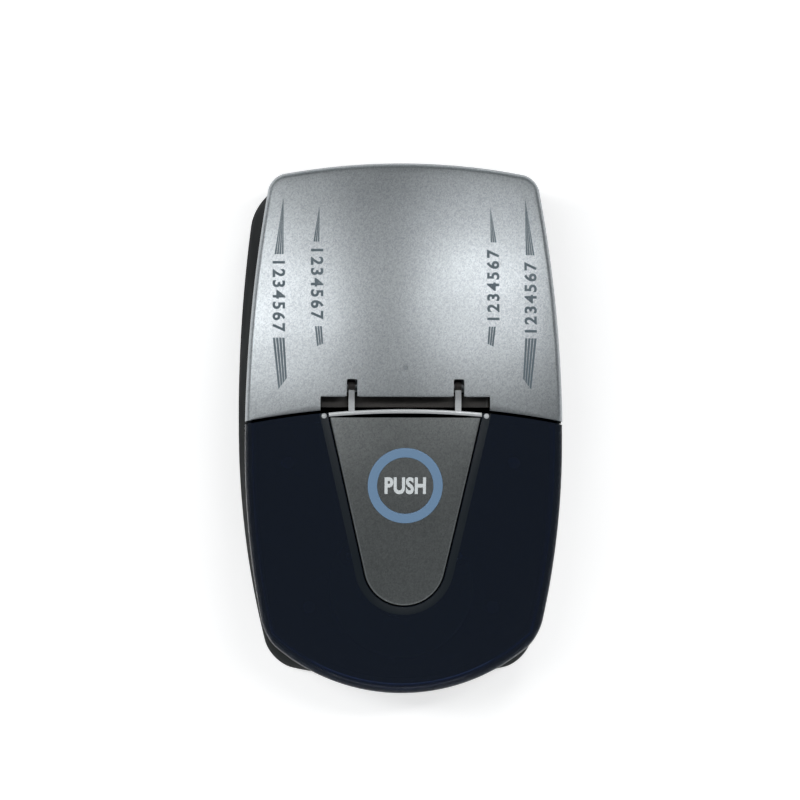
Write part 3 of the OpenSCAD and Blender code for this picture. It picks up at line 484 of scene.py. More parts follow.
@dataclass
class RearCover:
    """Painted cover behind the seam, with its screw posts, hinge trough and lip."""

    columns: int = 421
    corner_at: tuple[float, float] = (0.31, 0.69)
    corner_width: float = 0.05
    corner_gain: float = 2.0
    crown_rows: int = 34
    shoulder: float = 1.6
    fillet: float = 0.4
    edge: float = 0.3
    edge_fade: float = 30.0
    rim_edge: float = 0.25
    trough_half: float = 25.4
    trough_front: float = 6.6
    trough_rear: float = 10.8
    trough_floor: float = 37.4
    trough_wall: float = 1.2
    trough_fillet: float = 0.9
    lip_y: float = 9.8
    lip_r: float = 0.28
    lip_back: float = 0.06
    lip_sunk: float = 0.14
    lip_clear: float = 0.3
    lip_columns: int = 90
    slot_x: float = 16.0
    slot_w: float = 3.2
    slot_rear: float = 14.9
    hinge_z: float = 39.7
    pinhole_y: float = 18.3
    pinhole_r: float = 0.7
    post_z: float = 11.0
    post_r: float = 3.15
    post_sunk: float = 0.9
    boss_at: tuple[float, float] = (27.5, 16.0)
    boss_z: float = 36.0
    boss_r: float = 2.9
    gasket_w: float = 1.4
    gasket_t: float = 0.55
    gasket_sunk: float = 0.3
    gasket_r: float = 2.6

    def build(self) -> bpy.types.Object:
        """Shell from the seam over the crown and shoulder to the rim, cut for the trough, slots and pinhole.

        A column runs from a place on the seam straight to its partner on the outline, and rows lie on the
        crown. The columns stand closer at the rear corners.

        Returns:
            The cover.
        """
        out = FORM.seam_gap / 2
        t = np.linspace(0, 1, self.columns)
        peaks = sum(np.exp(-((t - c) / self.corner_width) ** 2) for c in self.corner_at)
        dense = 1 + self.corner_gain * peaks
        u = np.cumsum(1 / dense) - 1 / dense[0]
        u = u / u[-1]

        def angles(level: float) -> Array:
            a = FORM.seam_angle(level, out)
            return a + u * (np.pi - 2 * a)

        end_x, end_y = FORM.outline(FORM.plan_depth, self.shoulder, angles(self.shoulder))
        start_x = end_x[0] * np.cos(np.pi * u)
        start_y = FORM.seam(start_x, out)
        edge = self.edge * share(np.minimum(u, 1 - u) * self.edge_fade)
        under = FORM.crown(start_x, start_y) - FORM.wall
        foot = place(start_x, start_y, under)
        outer, inner = [foot], [foot]
        for t in np.radians(np.linspace(0, 90, 6)):
            y = start_y + edge * (1 - np.cos(t))
            outer.append(place(start_x, y, FORM.crown(start_x, y) - edge * (1 - np.sin(t))))
            inner.append(foot)
        first_y = start_y + edge
        for f in np.linspace(0, 1, self.crown_rows)[1:]:
            x = start_x + (end_x - start_x) * f
            y = first_y + (end_y - first_y) * f
            outer.append(place(x, y, FORM.crown(x, y)))
            inner.append(place(x, y, FORM.crown(x, y) - FORM.wall))
        side_out, side_in = shell_rows(angles, FORM.base_h, self.rim_edge, self.shoulder, self.fillet)
        rows = outer + side_out + (inner + side_in)[::-1]
        cover = band_piece("silver_cover", rows, False)
        self._cut(cover)
        self._posts(cover)
        return cover

    def _cut(self, cover: bpy.types.Object) -> None:
        """Cut the trough, the arm slots and the pinhole through the crown."""
        top = FORM.height + 2
        half, slot = self.trough_half, self.slot_w / 2
        cuts = [(rounded(-half, 0.0, half, self.lip_y, 0.5), self.hinge_z, top),
                (circle(0.0, self.pinhole_y, self.pinhole_r, 32), self.hinge_z, top)]
        for x in (-self.slot_x, self.slot_x):
            loop = rounded(x - slot, self.lip_y - 1, x + slot, self.slot_rear, 0.6)
            cuts.append((loop, self.hinge_z - 0.1, top + 0.1))
        for number, shape in enumerate(cuts):
            carve(cover, bars(f"cut_{number}", [shape]), "DIFFERENCE")

    def _posts(self, cover: bpy.types.Object) -> None:
        """Fuse the screw posts and the hinge bosses under the crown."""
        bx, by = self.boss_at
        places = [(x, y, self.post_r, self.post_z) for x, y in FORM.case_posts]
        places += [(side * bx, by, self.boss_r, self.boss_z) for side in (-1, 1)]
        shapes = [(circle(x, y, r, 32), low, FORM.crown_at(x, y) - self.post_sunk) for x, y, r, low in places]
        carve(cover, bars("posts", shapes), "UNION")

    def build_trough(self) -> bpy.types.Object:
        """Channel under the hinge arms: a filleted U-shaped section, carried from front to rear."""
        half, wall, r = self.trough_half, self.trough_wall, self.trough_fillet
        floor = self.trough_floor
        rise = FORM.crown_at(half + wall, self.trough_front) - self.post_sunk
        turn = np.linspace(0, np.pi / 2, 6)
        fillet_x, fillet_z = half - r + r * np.sin(turn), floor + r - r * np.cos(turn)
        inside = np.column_stack([np.concatenate([-fillet_x[::-1], fillet_x]),
                                  np.concatenate([fillet_z[::-1], fillet_z])])
        section = np.concatenate([[[-half, rise]], inside, [[half, rise], [half + wall, rise],
                                  [half + wall, floor - wall], [-half - wall, floor - wall],
                                  [-half - wall, rise]]])
        return bars("hinge_trough", [(section, self.trough_front, self.trough_rear)], Axis.REAR)

    def build_lip(self) -> bpy.types.Object:
        """Round bead along the rear edge of the trough between and beside the slots.

        Each bead is a circle carried along X on the crown, closed at its ends by a shrinking radius.
        """
        room = self.slot_w / 2 + self.lip_clear
        near, far, end = self.slot_x - room, self.slot_x + room, self.trough_half - self.lip_clear
        spans = [(-end, -far), (-near, near), (far, end)]
        turn = np.linspace(0, 2 * np.pi, 14, endpoint=False)[None, :]
        points, faces, start = [], [], 0
        n = self.lip_columns
        for x0, x1 in spans:
            s = np.linspace(0, 1, n)[:, None]
            x = np.broadcast_to(x0 + (x1 - x0) * s, (n, turn.shape[1]))
            r = self.lip_r * np.sqrt(share(np.minimum(s, 1 - s) * (x1 - x0) / self.lip_r))
            y = self.lip_y + self.lip_back + r * np.cos(turn)
            z = FORM.crown(x, np.full_like(x, self.lip_y)) - self.lip_sunk + r * np.sin(turn)
            points.append(np.stack([x, y, z], axis=-1).reshape(-1, 3))
            faces.append(grid_quads(n, turn.shape[1], False, True) + start)
            start += n * turn.shape[1]
        return put_mesh("trough_lip", np.concatenate(points), np.concatenate(faces))

    def build_gaskets(self) -> bpy.types.Object:
        """Black strips that close both ends of the seam: the side wall's section, carried rearwards.

        The section is sunk a little, and its upper corner is a quarter circle, like the shoulder of the lid.
        """
        angle = np.array([FORM.seam_angle(0.0, 0.0)])
        out_x, out_y = FORM.outline(FORM.plan_depth, self.gasket_sunk, angle)
        edge, r = float(out_x[0]), self.gasket_r - self.gasket_sunk
        depth = np.linspace(0, self.gasket_w, 9)
        x = edge - depth
        top = FORM.crown(x, np.full_like(x, out_y[0])) - self.gasket_r + np.sqrt(r * r - (r - depth) ** 2)
        loop = np.column_stack([np.append(x, [x[-1], edge]), np.append(top, [FORM.base_h, FORM.base_h])])
        rear = FORM.seam_at(edge, FORM.seam_gap / 2) - 0.05
        sides = [(loop * np.array([side, 1.0]), rear - self.gasket_t, rear) for side in (1.0, -1.0)]
        return bars("seam_gaskets", sides, Axis.REAR)


@dataclass
class SmokedLid:
    """See-through lid in front of the seam, with its opening for the tongue, skirt and screw bosses."""

    rim_gap: float = 0.3
    shoulder: float = 2.6
    fillet: float = 2.4
    bevel: float = 2.4
    bevel_drop: float = 0.55
    bevel_lip: float = 0.2
    bevel_curve: float = 1.3
    bevel_rows: int = 8
    rim_edge: float = 0.3
    pull_columns: float = 40.0
    crown_rows: int = 30
    turn_deg: float = 50.0
    skin: float = 0.02
    skin_sunk: float = 0.25
    glint_rivet_at: tuple[float, float] = (24.3, 3.9)
    glint_rivet_r: float = 0.8
    glint_rivet_h: float = 0.5
    skirt_t: float = 1.6
    skirt_drop: float = 6.25
    skirt_sunk: float = 0.05
    boss_drop: float = 6.2
    boss_r: float = 2.9
    boss_rows: tuple[float, float] = (-4.0, -38.0)

    def _angles(self, level: float) -> Array:
        """Directions of the outline's places that pair with the places of the opening's path."""
        a = FORM.seam_angle(level, -FORM.seam_gap / 2)
        t = radians(self.turn_deg)
        s = np.linspace(0, 1, TONGUE.side_steps, endpoint=False)
        tip = np.linspace(0, 1, TONGUE.tip_steps + 1)
        right = a - (t + a) * s
        return np.concatenate([right, -t - (np.pi - 2 * t) * tip, -np.pi - right[::-1]])

    def _edge(self, grow: float) -> tuple[Array, Array]:
        """Path of the opening, grown outwards, that ends on the seam."""
        return TONGUE.path(grow, lambda x: FORM.seam_at(x, -FORM.seam_gap / 2))

    def _bevel_row(self, f: float, lift: float) -> Array:
        """Row of places on the bevel at a share of its width, raised by a lift."""
        x, y = self._edge(TONGUE.gap + self.bevel_lip + (self.bevel - self.bevel_lip) * f)
        return place(x, y, FORM.crown(x, y) - self.bevel_drop * (1 - f) ** self.bevel_curve + lift)

    def build(self) -> bpy.types.Object:
        """Shell from the opening over its bevel, the crown and the shoulder to the rim.

        A column runs from a place on the opening to its partner on the outline; near the seam the columns
        bend onto the seam's arc. Rows lie on the crown.

        Returns:
            The lid.
        """
        gap, wall, lip = TONGUE.gap, FORM.wall, self.bevel_lip
        x, y = self._edge(gap)
        foot = place(x, y, FORM.crown(x, y) - wall)
        outer, inner = [foot], [foot]
        for t in np.radians(np.linspace(0, 90, 5)):
            x, y = self._edge(gap + lip * (1 - np.cos(t)))
            outer.append(place(x, y, FORM.crown(x, y) - self.bevel_drop - lip * (1 - np.sin(t))))
            inner.append(foot)
        for f in np.linspace(0, 1, self.bevel_rows)[1:]:
            outer.append(self._bevel_row(f, 0.0))
            x, y = outer[-1][:, 0], outer[-1][:, 1]
            inner.append(place(x, y, FORM.crown(x, y) - wall))
        first_x, first_y = x, y
        near = np.minimum(np.arange(x.size), x.size - 1 - np.arange(x.size))
        pull = ramp(share(1 - near / self.pull_columns))
        for rows, level, drop in ((outer, self.shoulder, 0.0), (inner, wall + self.fillet, wall)):
            end_x, end_y = FORM.outline(FORM.plan_depth, level, self._angles(level))
            for f in np.linspace(0, 1, self.crown_rows)[1:]:
                x = first_x + (end_x - first_x) * f
                y = first_y + (end_y - first_y) * f
                y = y + pull * (FORM.seam_at(x[0], -FORM.seam_gap / 2) - y[0])
                rows.append(place(x, y, FORM.crown(x, y) - drop))
        rim = FORM.base_h + self.rim_gap
        side_out, side_in = shell_rows(self._angles, rim, self.rim_edge, self.shoulder, self.fillet)
        return band_piece("smoked_lid", outer + side_out + (inner + side_in)[::-1], False)

    def build_bevel(self) -> bpy.types.Object:
        """Satin skin on the bevel: a thin strip between two grown paths that follows the bevel's fall."""
        steps = np.linspace(0, 1, self.bevel_rows)
        rows = [self._bevel_row(f, self.skin) for f in steps]
        rows += [self._bevel_row(f, -self.skin_sunk) for f in steps[::-1]]
        return band_piece("lid_bevel", rows, False)

    def build_glint_rivets(self) -> bpy.types.Object:
        """Bright rivet heads in the rear corners of the bevel, which paint a glint there: flattened balls,
        with x = r cos u sin v.
        """
        u = np.linspace(0, 2 * np.pi, 24, endpoint=False)[None, :]
        v = np.linspace(0, np.pi, 13)[:, None]
        x, y = self.glint_rivet_at
        z = FORM.crown_at(x, y) - self.bevel_drop / 2
        ball = np.stack([self.glint_rivet_r * np.cos(u) * np.sin(v), self.glint_rivet_r * np.sin(u) * np.sin(v),
                         self.glint_rivet_h * np.cos(v) * np.ones_like(u)], axis=-1).reshape(-1, 3)
        points = np.concatenate([ball + np.array([side * x, y, z]) for side in (1, -1)])
        quads = grid_quads(13, 24, False, True)
        return put_mesh("painted_glint_rivets", points, np.concatenate([quads, quads + len(ball)]))

    def build_skirt(self) -> bpy.types.Object:
        """Wall that hangs under the lid round the opening: a strip between grown paths, with screw bosses."""
        wide, high = self.skirt_t, FORM.wall - self.skirt_sunk
        rows = []
        for grow, drop in ((0.0, high), (wide, high), (wide, self.skirt_drop), (0.0, self.skirt_drop)):
            x, y = self._edge(TONGUE.gap + grow)
            rows.append(place(x, y, FORM.crown(x, y) - drop))
        skirt = band_piece("lid_skirt", rows, False)
        shapes, room = [], []
        for y in self.boss_rows:
            x, r = TONGUE.half(y, TONGUE.gap + wide) + self.boss_r / 2, self.boss_r
            top = FORM.crown_at(x + r, y - r) - FORM.wall - self.skirt_sunk
            low = FORM.crown_at(x - r, y + r) - self.boss_drop
            shapes += [(circle(side * x, y, r, 40), low, top) for side in (-1, 1)]
            room += [(circle(side * x, y, r + 0.1, 40), FORM.base_h, low) for side in (-1, 1)]
        carve(skirt, bars("room", room), "DIFFERENCE")
        carve(skirt, bars("bosses", shapes), "UNION")
        return skirt


@dataclass
class HingeStrip:
    """Bright strip behind the tongue with its two hinge arms and the screw tab under the tongue."""

    low: float
    half: float = 22.9
    thick: float = 1.2
    behind: float = 0.4
    sink: float = 0.3
    edge: float = 0.25
    columns: int = 121
    arm_x: float = 16.0
    arm_w: float = 1.8
    arm_h: float = 2.0
    eye_r: float = 1.5
    pin_r: float = 0.85
    hinge_y: float = 13.0
    hinge_z: float = 39.7
    tab_half: float = 8.0
    tab_front: float = -2.3
    tab_t: float = 1.5
    screw_at: tuple[float, float] = (5.0, 0.7)
    screw_r: float = 1.1
    shade_sleeve_r: float = 1.65
    shade_sleeve_w: float = 2.0

    def _middle(self, x: float) -> float:
        """Y of the strip's middle at a place across the object."""
        return FORM.seam_at(x, -self.behind - self.thick / 2)

    def build(self) -> bpy.types.Object:
        """Strip that follows the seam's arc, under the crown: its section is carried across the object.

        The arms are bars with round eyes, and the tab is a plate; both are fused to the strip.

        Returns:
            The strip with its arms and tab, drilled for the pin and the screws.
        """
        x = np.linspace(-self.half, self.half, self.columns)
        c, t = self.edge, self.thick
        rows = []
        near = ((0.0, c), (0.3 * c, 0.3 * c), (c, 0.0))
        for front, drop in near + tuple((t - front, drop) for front, drop in near[::-1]):
            y = FORM.seam(x, -self.behind - front)
            rows.append(place(x, y, FORM.crown(x, y) - self.sink - drop))
        feet = [place(x, FORM.seam(x, -self.behind - front), self.low) for front in (t, 0.0)]
        strip = band_piece("hinge_strip", rows + feet, False)
        carve(strip, self._arms(), "UNION")
        tab = rounded(-self.tab_half, self.tab_front, self.tab_half, self._middle(self.tab_half), 0.5)
        carve(strip, bars("tab", [(tab, self.low, self.low + self.tab_t)]), "UNION")
        pin = circle(self.hinge_y, self.hinge_z, self.pin_r, 40)
        carve(strip, bars("pin", [(pin, -2 * self.half, 2 * self.half)], Axis.ACROSS), "DIFFERENCE")
        sx, sy = self.screw_at
        holes = [(circle(side * sx, sy, self.screw_r, 32), self.low - 1, self.low + 4) for side in (-1, 1)]
        carve(strip, bars("holes", holes), "DIFFERENCE")
        return strip

    def _arms(self) -> bpy.types.Object:
        """Both arms: a bar that ends in a round eye, in side view, carried across its width."""
        open_turn = np.pi - np.arcsin(self.arm_h / 2 / self.eye_r)
        a = np.linspace(-open_turn, open_turn, 48)
        eye = np.column_stack([self.hinge_y + self.eye_r * np.cos(a), self.hinge_z + self.eye_r * np.sin(a)])
        y, up = self._middle(self.arm_x), self.arm_h / 2
        outline = np.concatenate([eye, np.array([[y, self.hinge_z + up], [y, self.hinge_z - up]])])
        sides = [(side * self.arm_x - self.arm_w / 2, side * self.arm_x + self.arm_w / 2) for side in (-1, 1)]
        return bars("arms", [(outline, low, high) for low, high in sides], Axis.ACROSS)

    def build_shade_sleeves(self) -> bpy.types.Object:
        """Dark sleeves round the eyes, which paint the shade inside the arm slots: circles carried across
        their width, drilled for the pin.
        """
        loop, half = circle(self.hinge_y, self.hinge_z, self.shade_sleeve_r, 48), self.shade_sleeve_w / 2
        sleeves = [(loop, side * self.arm_x - half, side * self.arm_x + half) for side in (-1, 1)]
        shade_sleeves = bars("painted_shade_sleeves", sleeves, Axis.ACROSS)
        pin = circle(self.hinge_y, self.hinge_z, self.pin_r, 40)
        carve(shade_sleeves, bars("shade_sleeve_pin", [(pin, -2 * self.half, 2 * self.half)], Axis.ACROSS), "DIFFERENCE")
        return shade_sleeves


@dataclass
class Tongue:
    """Painted tongue that is the test button, with its ring and letters."""

    recess: float = 0.4
    thick: float = 2.0
    edge: float = 0.55
    rows: int = 16
    ring_y: float = -16.9
    ring_out: float = 11.25
    ring_in: float = 8.4
    ring_t: float = 0.9
    ring_proud: float = 0.06
    ring_play: float = 0.03
    ring_edge: float = 0.12
    ring_columns: int = 160
    groove_rise: float = 1.0
    stem_r: float = 2.5
    stem_end: float = 34.8
    stem_top: float = 40.6
    guide_r: float = 1.4
    guides: tuple[tuple[float, float], ...] = ((-9.0, -4.0), (9.0, -4.0), (0.0, -41.0))
    guide_drop: float = 9.4
    guide_sunk: float = 1.5

    def build(self) -> bpy.types.Object:
        """Plate under the crown: columns run from the spine to the outline, where the edge turns down.

        The spine is the middle line behind the tip's centre, so that the columns meet in the tip's centre
        like spokes. The edge is a quarter circle.

        Returns:
            The tongue with its ring groove, stem and guides.
        """
        edge_x, edge_y = TONGUE.path(0.0, lambda x: TONGUE.rear_y)
        s = np.linspace(0, 1, TONGUE.side_steps, endpoint=False)
        spine_side = TONGUE.rear_y + (TONGUE.tip_y - TONGUE.rear_y) * s
        tip = np.full(TONGUE.tip_steps + 1, TONGUE.tip_y)
        spine_y = np.concatenate([spine_side, tip, spine_side[::-1]])
        in_x, in_y = TONGUE.path(-self.edge, lambda x: TONGUE.rear_y)
        top, low = [], []
        for f in np.linspace(0, 1, self.rows):
            x, y = in_x * f, spine_y + (in_y - spine_y) * f
            top.append(place(x, y, FORM.crown(x, y) - self.recess))
            low.append(place(x, y, FORM.crown(x, y) - self.recess - self.thick))
        for t in np.radians(np.linspace(15, 90, 6)):
            x, y = TONGUE.path(-self.edge * (1 - np.sin(t)), lambda x: TONGUE.rear_y)
            top.append(place(x, y, FORM.crown(x, y) - self.recess - self.edge * (1 - np.cos(t))))
            low.append(place(edge_x, edge_y, FORM.crown(edge_x, edge_y) - self.recess - self.thick))
        tongue = band_piece("silver_tongue", top + low[::-1], False, folded=True)
        carve(tongue, self._ring("groove", self.ring_play, self.groove_rise), "DIFFERENCE")
        self._stems(tongue)
        return tongue

    def _stems(self, tongue: bpy.types.Object) -> None:
        """Fuse the stem and the guide posts under the plate."""
        shapes = [(circle(0.0, self.ring_y, self.stem_r, 40), self.stem_end, self.stem_top)]
        for x, y in self.guides:
            crown = FORM.crown_at(x, y)
            shapes.append((circle(x, y, self.guide_r, 32), crown - self.guide_drop, crown - self.guide_sunk))
        carve(tongue, bars("stems", shapes), "UNION")

    def _ring(self, name: str, play: float, rise: float) -> bpy.types.Object:
        """Ring on the crown: a section with rounded upper corners, carried round a circle.

        Args:
            name: Name of the piece.
            play: How far the section is grown on both sides and downwards.
            rise: How far the section is raised at the top.

        Returns:
            The ring.
        """
        r0, r1 = self.ring_in - play, self.ring_out + play
        top = self.recess - self.ring_proud - rise
        bottom = self.recess - self.ring_proud + self.ring_t + play
        c = self.ring_edge
        section = [(r0, bottom), (r0, top + c), (r0 + 0.3 * c, top + 0.3 * c), (r0 + c, top)]
        section += [(r0 + c + (r1 - r0 - 2 * c) * f, top) for f in (0.25, 0.5, 0.75)]
        section += [(r1 - c, top), (r1 - 0.3 * c, top + 0.3 * c), (r1, top + c), (r1, bottom)]
        a = np.linspace(0, 2 * np.pi, self.ring_columns, endpoint=False)
        rows = []
        for r, drop in section:
            x, y = r * np.cos(a), self.ring_y + r * np.sin(a)
            rows.append(place(x, y, FORM.crown(x, y) - drop))
        return band_piece(name, rows, True)

    def build_ring(self) -> bpy.types.Object:
        """Pale ring let into the tongue."""
        return self._ring("blue_ring", 0.0, 0.0)

    def build_word(self) -> bpy.types.Object:
        """Plain word in the ring."""
        word = Lettering("PUSH", 5.1, 0.0, self.ring_y, 0.0, spacing=1.06, weight=0.04, narrow=0.78)
        return word.build("push_word", -self.recess)


@dataclass
class ReturnSpring:
    """Wire spring round the button's stem, which shortens when the button is pressed."""

    low: float
    high: float
    y: float = -16.9
    middle_r: float = 3.35
    wire_r: float = 0.34
    turns: float = 2.0
    steps: int = 120
    travel: float = 1.0

    @property
    def keep(self) -> float:
        """Share of its height that is left when the button is down."""
        return 1 - self.travel / (self.high - self.low)

    def build(self) -> bpy.types.Object:
        """Helix of round wire: a circle carried along x = r cos a, y = r sin a while z grows with a.

        Returns:
            The spring, with ends that shrink to a point.
        """
        s = np.linspace(0, 1, self.steps)[:, None]
        a = 2 * np.pi * self.turns * s
        v = np.linspace(0, 2 * np.pi, 10, endpoint=False)[None, :]
        wire = self.wire_r * np.sqrt(share(np.minimum(s, 1 - s) * self.steps / 3))
        r = self.middle_r + wire * np.cos(v)
        z = self.low + self.wire_r + (self.high - self.low - 2 * self.wire_r) * s + wire * np.sin(v)
        grid = np.stack([r * np.cos(a), self.y + r * np.sin(a), z], axis=-1)
        return put_mesh("return_spring", grid.reshape(-1, 3), grid_quads(self.steps, v.size, False, True))


@dataclass(frozen=True)
class Lettering:
    """Flat letters or numerals that lie on the crown."""

    text: str
    height: float
    x: float
    y: float
    turn_deg: float
    spacing: float
    weight: float
    narrow: float = 1.0
    proud: float = 0.035
    sunk: float = 0.25

    def build(self, name: str, lift: float) -> bpy.types.Object:
        """Set the letters in Blender's own font, turn them into a mesh and lay them on the crown.

        Args:
            name: Name of the piece.
            lift: Height of the carrying surface above the crown.

        Returns:
            The letters.
        """
        curve = bpy.data.curves.new(name, "FONT")
        curve.body = self.text
        curve.align_x = "CENTER"
        curve.space_character = self.spacing
        curve.offset = self.weight
        curve.extrude = 0.1
        curve.resolution_u = 8
        holder = link(name, curve)
        mesh = final_mesh(holder)
        bpy.data.objects.remove(holder)
        bpy.data.curves.remove(curve)
        flat = np.empty(len(mesh.vertices) * 3)
        mesh.vertices.foreach_get("co", flat)
        flat = flat.reshape(-1, 3)
        low, high = flat.min(axis=0), flat.max(axis=0)
        plane = (flat[:, :2] - (low[:2] + high[:2]) / 2) * self.height / (high[1] - low[1])
        plane[:, 0] *= self.narrow
        c, s = np.cos(radians(self.turn_deg)), np.sin(radians(self.turn_deg))
        x = self.x + c * plane[:, 0] - s * plane[:, 1]
        y = self.y + s * plane[:, 0] + c * plane[:, 1]
        z = FORM.crown(x, y) + lift + np.where(flat[:, 2] > 0, self.proud, -self.sunk)
        mesh.vertices.foreach_set("co", (place(x, y, z) * MM).ravel())
        piece = link(name, mesh)
        settle(piece)
        return piece


@dataclass
class SidePrints:
    """Striped darts and numerals printed in grey-blue along both sides of the cover."""

    proud: float = 0.03
    sunk: float = 0.2
    steps: int = 24
    # Each fan of the left side: X of both edges and Y at its rear end, X and Y of both corners at its
    # front end, and its number of stripes
    fans: tuple[tuple[tuple[float, float, float], tuple[float, float], tuple[float, float], int], ...] = (
        ((-36.5, -36.4, 69.0), (-39.1, 52.4), (-36.4, 52.4), 4),
        ((-39.6, -36.1, 27.3), (-37.9, 11.9), (-35.4, 15.2), 4),
        ((-25.75, -25.65, 66.5), (-27.5, 56.1), (-25.7, 56.1), 3),
        ((-27.1, -25.0, 30.7), (-26.4, 24.7), (-24.6, 25.5), 3))
    ink_share: float = 0.74
    numerals: tuple[tuple[str, float, float], ...] = (("1234567", -37.8, 39.7), ("1234567", -26.4, 43.3))
    numeral_height: float = 3.9

    def build(self) -> list[bpy.types.Object]:
        """Make the stripes, each a thin plate between two straight edges on the crown, and the numerals.

        Returns:
            The stripes as one piece, and the numerals of each column.
        """
        f = np.linspace(0, 1, self.steps)[:, None]
        points, faces, start = [], [], 0
        for (rear_x0, rear_x1, rear_y), (x0, y0), (x1, y1), count in self.fans:
            for number in range(count):
                a, b = np.array([number, number + self.ink_share]) / (count - 1 + self.ink_share)
                edges = np.array([[a, b, b, a]])
                rear_x, front_x = rear_x0 + (rear_x1 - rear_x0) * edges, x0 + (x1 - x0) * edges
                y = rear_y + (y0 + (y1 - y0) * edges - rear_y) * f
                x = rear_x + (front_x - rear_x) * f
                z = FORM.crown(x, y) + np.array([self.proud, self.proud, -self.sunk, -self.sunk])
                ends = [ladder_quads(0, 4), ladder_quads(self.steps - 1, 4)]
                mesh = [grid_quads(self.steps, 4, False, True), *ends]
                for side in (1, -1):
                    points.append(np.stack([side * x, y, z], axis=-1).reshape(-1, 3))
                    faces.append(np.concatenate(mesh) + start)
                    start += self.steps * 4
        prints = [put_mesh("print_stripes", np.concatenate(points), np.concatenate(faces))]
        for number, (text, x, y) in enumerate(self.numerals):
            for side, turn in ((1, -90.0), (-1, 90.0)):
                letters = Lettering(text, self.numeral_height, side * x, y, turn, spacing=1.3, weight=0.03)
                prints.append(letters.build(f"print_numerals_{2 * number + (side < 0)}", 0.0))
        return prints


@dataclass
class BaseTub:
    """Black lower case: flared sides, rounded lower edge, and the openings of its floor and rear wall."""

    columns: int = 480
    edge_r: float = 3.0
    rim_edge: float = 0.3
    fillet: float = 2.0
    foot_r: float = 5.1
    foot_pocket: float = 0.8
    head_r: float = 2.9
    head_z: float = 4.7
    hole_r: float = 1.55
    boss_r: float = 4.8
    boss_top: float = 10.9
    door: tuple[float, float, float, float] = (-22.1, 13.03, 22.1, 61.13)
    socket: tuple[float, float, float] = (20.0, 10.2, 4.1)
    slot: tuple[float, float, float, float] = (-24.5, 7.1, -15.5, 10.3)
    small_r: float = 2.9
    # Posts of the right half for the boards and the deck: X, Y and height of the top
    posts: tuple[tuple[float, float, float], ...] = (
        (31.0, 30.0, 22.6), (31.0, 57.0, 22.6), (19.0, -61.5, 6.0), (19.0, -33.5, 6.0),
        (34.6, -10.0, 16.1), (28.0, -54.0, 16.1))
    shelves: tuple[tuple[float, float, float, float], ...] = (
        (15.5, 64.3, 24.5, 76.4), (-26.5, 69.3, -13.5, 76.4))
    shelf_top: float = 5.2
    post_sunk: float = 0.9
    under: float = -1.0
    door_top: float = 4.2
    hole_span: tuple[float, float] = (4.0, 12.0)
    feet: tuple[tuple[float, float], ...] = ((33.8, 54.0), (32.8, -46.0))
    rear_span: tuple[float, float] = (74.6, 82.0)

    def build(self) -> bpy.types.Object:
        """Tub from the middle of its underside out round the lower edge, up the side and back down inside.

        Every row is a closed outline at a level of the plan. Up the side, the plan goes over from the flared
        foot to the rim in a straight line.

        Returns:
            The tub with its posts and openings.
        """
        a = np.linspace(0, 2 * np.pi, self.columns, endpoint=False)
        low, top = FORM.foot_h, FORM.base_h
        floor = low + FORM.floor_t
        rows: list[Array] = []

        def add(f: float, level: float, z: float, k: float = 1.0) -> None:
            x, y = FORM.outline(lambda px, py: (1 - f) * FORM.foot_depth(px, py) + f * FORM.rim_depth(px, py),
                                level, a)
            rows.append(place(k * x, k * y, z))

        for k in (0.0, 0.5, 0.8):
            add(0.0, self.edge_r, low, k)
        for t in np.radians(np.linspace(0, 90, 9)):
            add(0.0, self.edge_r * (1 - np.sin(t)), low + self.edge_r * (1 - np.cos(t)))
        for f in (0.25, 0.5, 0.75):
            add(f, 0.0, low + self.edge_r + (top - self.rim_edge - low - self.edge_r) * f)
        for t in np.radians(np.linspace(0, 90, 4)):
            add(1.0, self.rim_edge * (1 - np.cos(t)), top - self.rim_edge * (1 - np.sin(t)))
        add(1.0, FORM.wall, top)
        for f in (0.66, 0.33):
            add(f, FORM.wall, floor + self.fillet + (top - floor - self.fillet) * f)
        for t in np.radians(np.linspace(0, 90, 6)):
            add(0.0, FORM.wall + self.fillet * (1 - np.cos(t)), floor + self.fillet * (1 - np.sin(t)))
        add(0.0, FORM.wall + self.fillet, floor, 0.5)
        add(0.0, FORM.wall + self.fillet, floor, 0.0)
        tub = band_piece("black_base", rows, True, folded=True)
        self._posts(tub)
        self._cut(tub)
        return tub

    def _posts(self, tub: bpy.types.Object) -> None:
        """Fuse the screw bosses, the board and deck posts and the rear shelves to the floor."""
        low = FORM.foot_h + self.post_sunk
        shapes = [(circle(x, y, self.boss_r, 40), low, self.boss_top) for x, y in FORM.case_posts]
        shapes += [(circle(side * x, y, self.small_r, 32), low, top)
                   for side in (-1, 1) for x, y, top in self.posts]
        shapes += [(rounded(*shelf, 0.5), low, self.shelf_top) for shelf in self.shelves]
        carve(tub, bars("floor_posts", shapes), "UNION")

    def _cut(self, tub: bpy.types.Object) -> None:
        """Cut the battery opening, foot pockets, screw holes, inlet hole and switch slot."""
        low, pocket = self.under, FORM.foot_h + self.foot_pocket
        cuts = [(rounded(*self.door, 0.8), low, self.door_top)]
        cuts += [(circle(side * x, y, self.foot_r), low, pocket) for side in (-1, 1) for x, y in self.feet]
        cuts += [(circle(x, y, self.head_r, 48), low, self.head_z) for x, y in FORM.case_posts]
        carve(tub, bars("floor_cuts", cuts), "DIFFERENCE")
        holes = [(circle(x, y, self.hole_r, 32), *self.hole_span) for x, y in FORM.case_posts]
        carve(tub, bars("screw_holes", holes), "DIFFERENCE")
        x, z, r = self.socket
        rear = [(circle(x, z, r, 48), *self.rear_span), (rounded(*self.slot, 0.5), *self.rear_span)]
        carve(tub, bars("rear_cuts", rear, Axis.REAR), "DIFFERENCE")


# Finishes

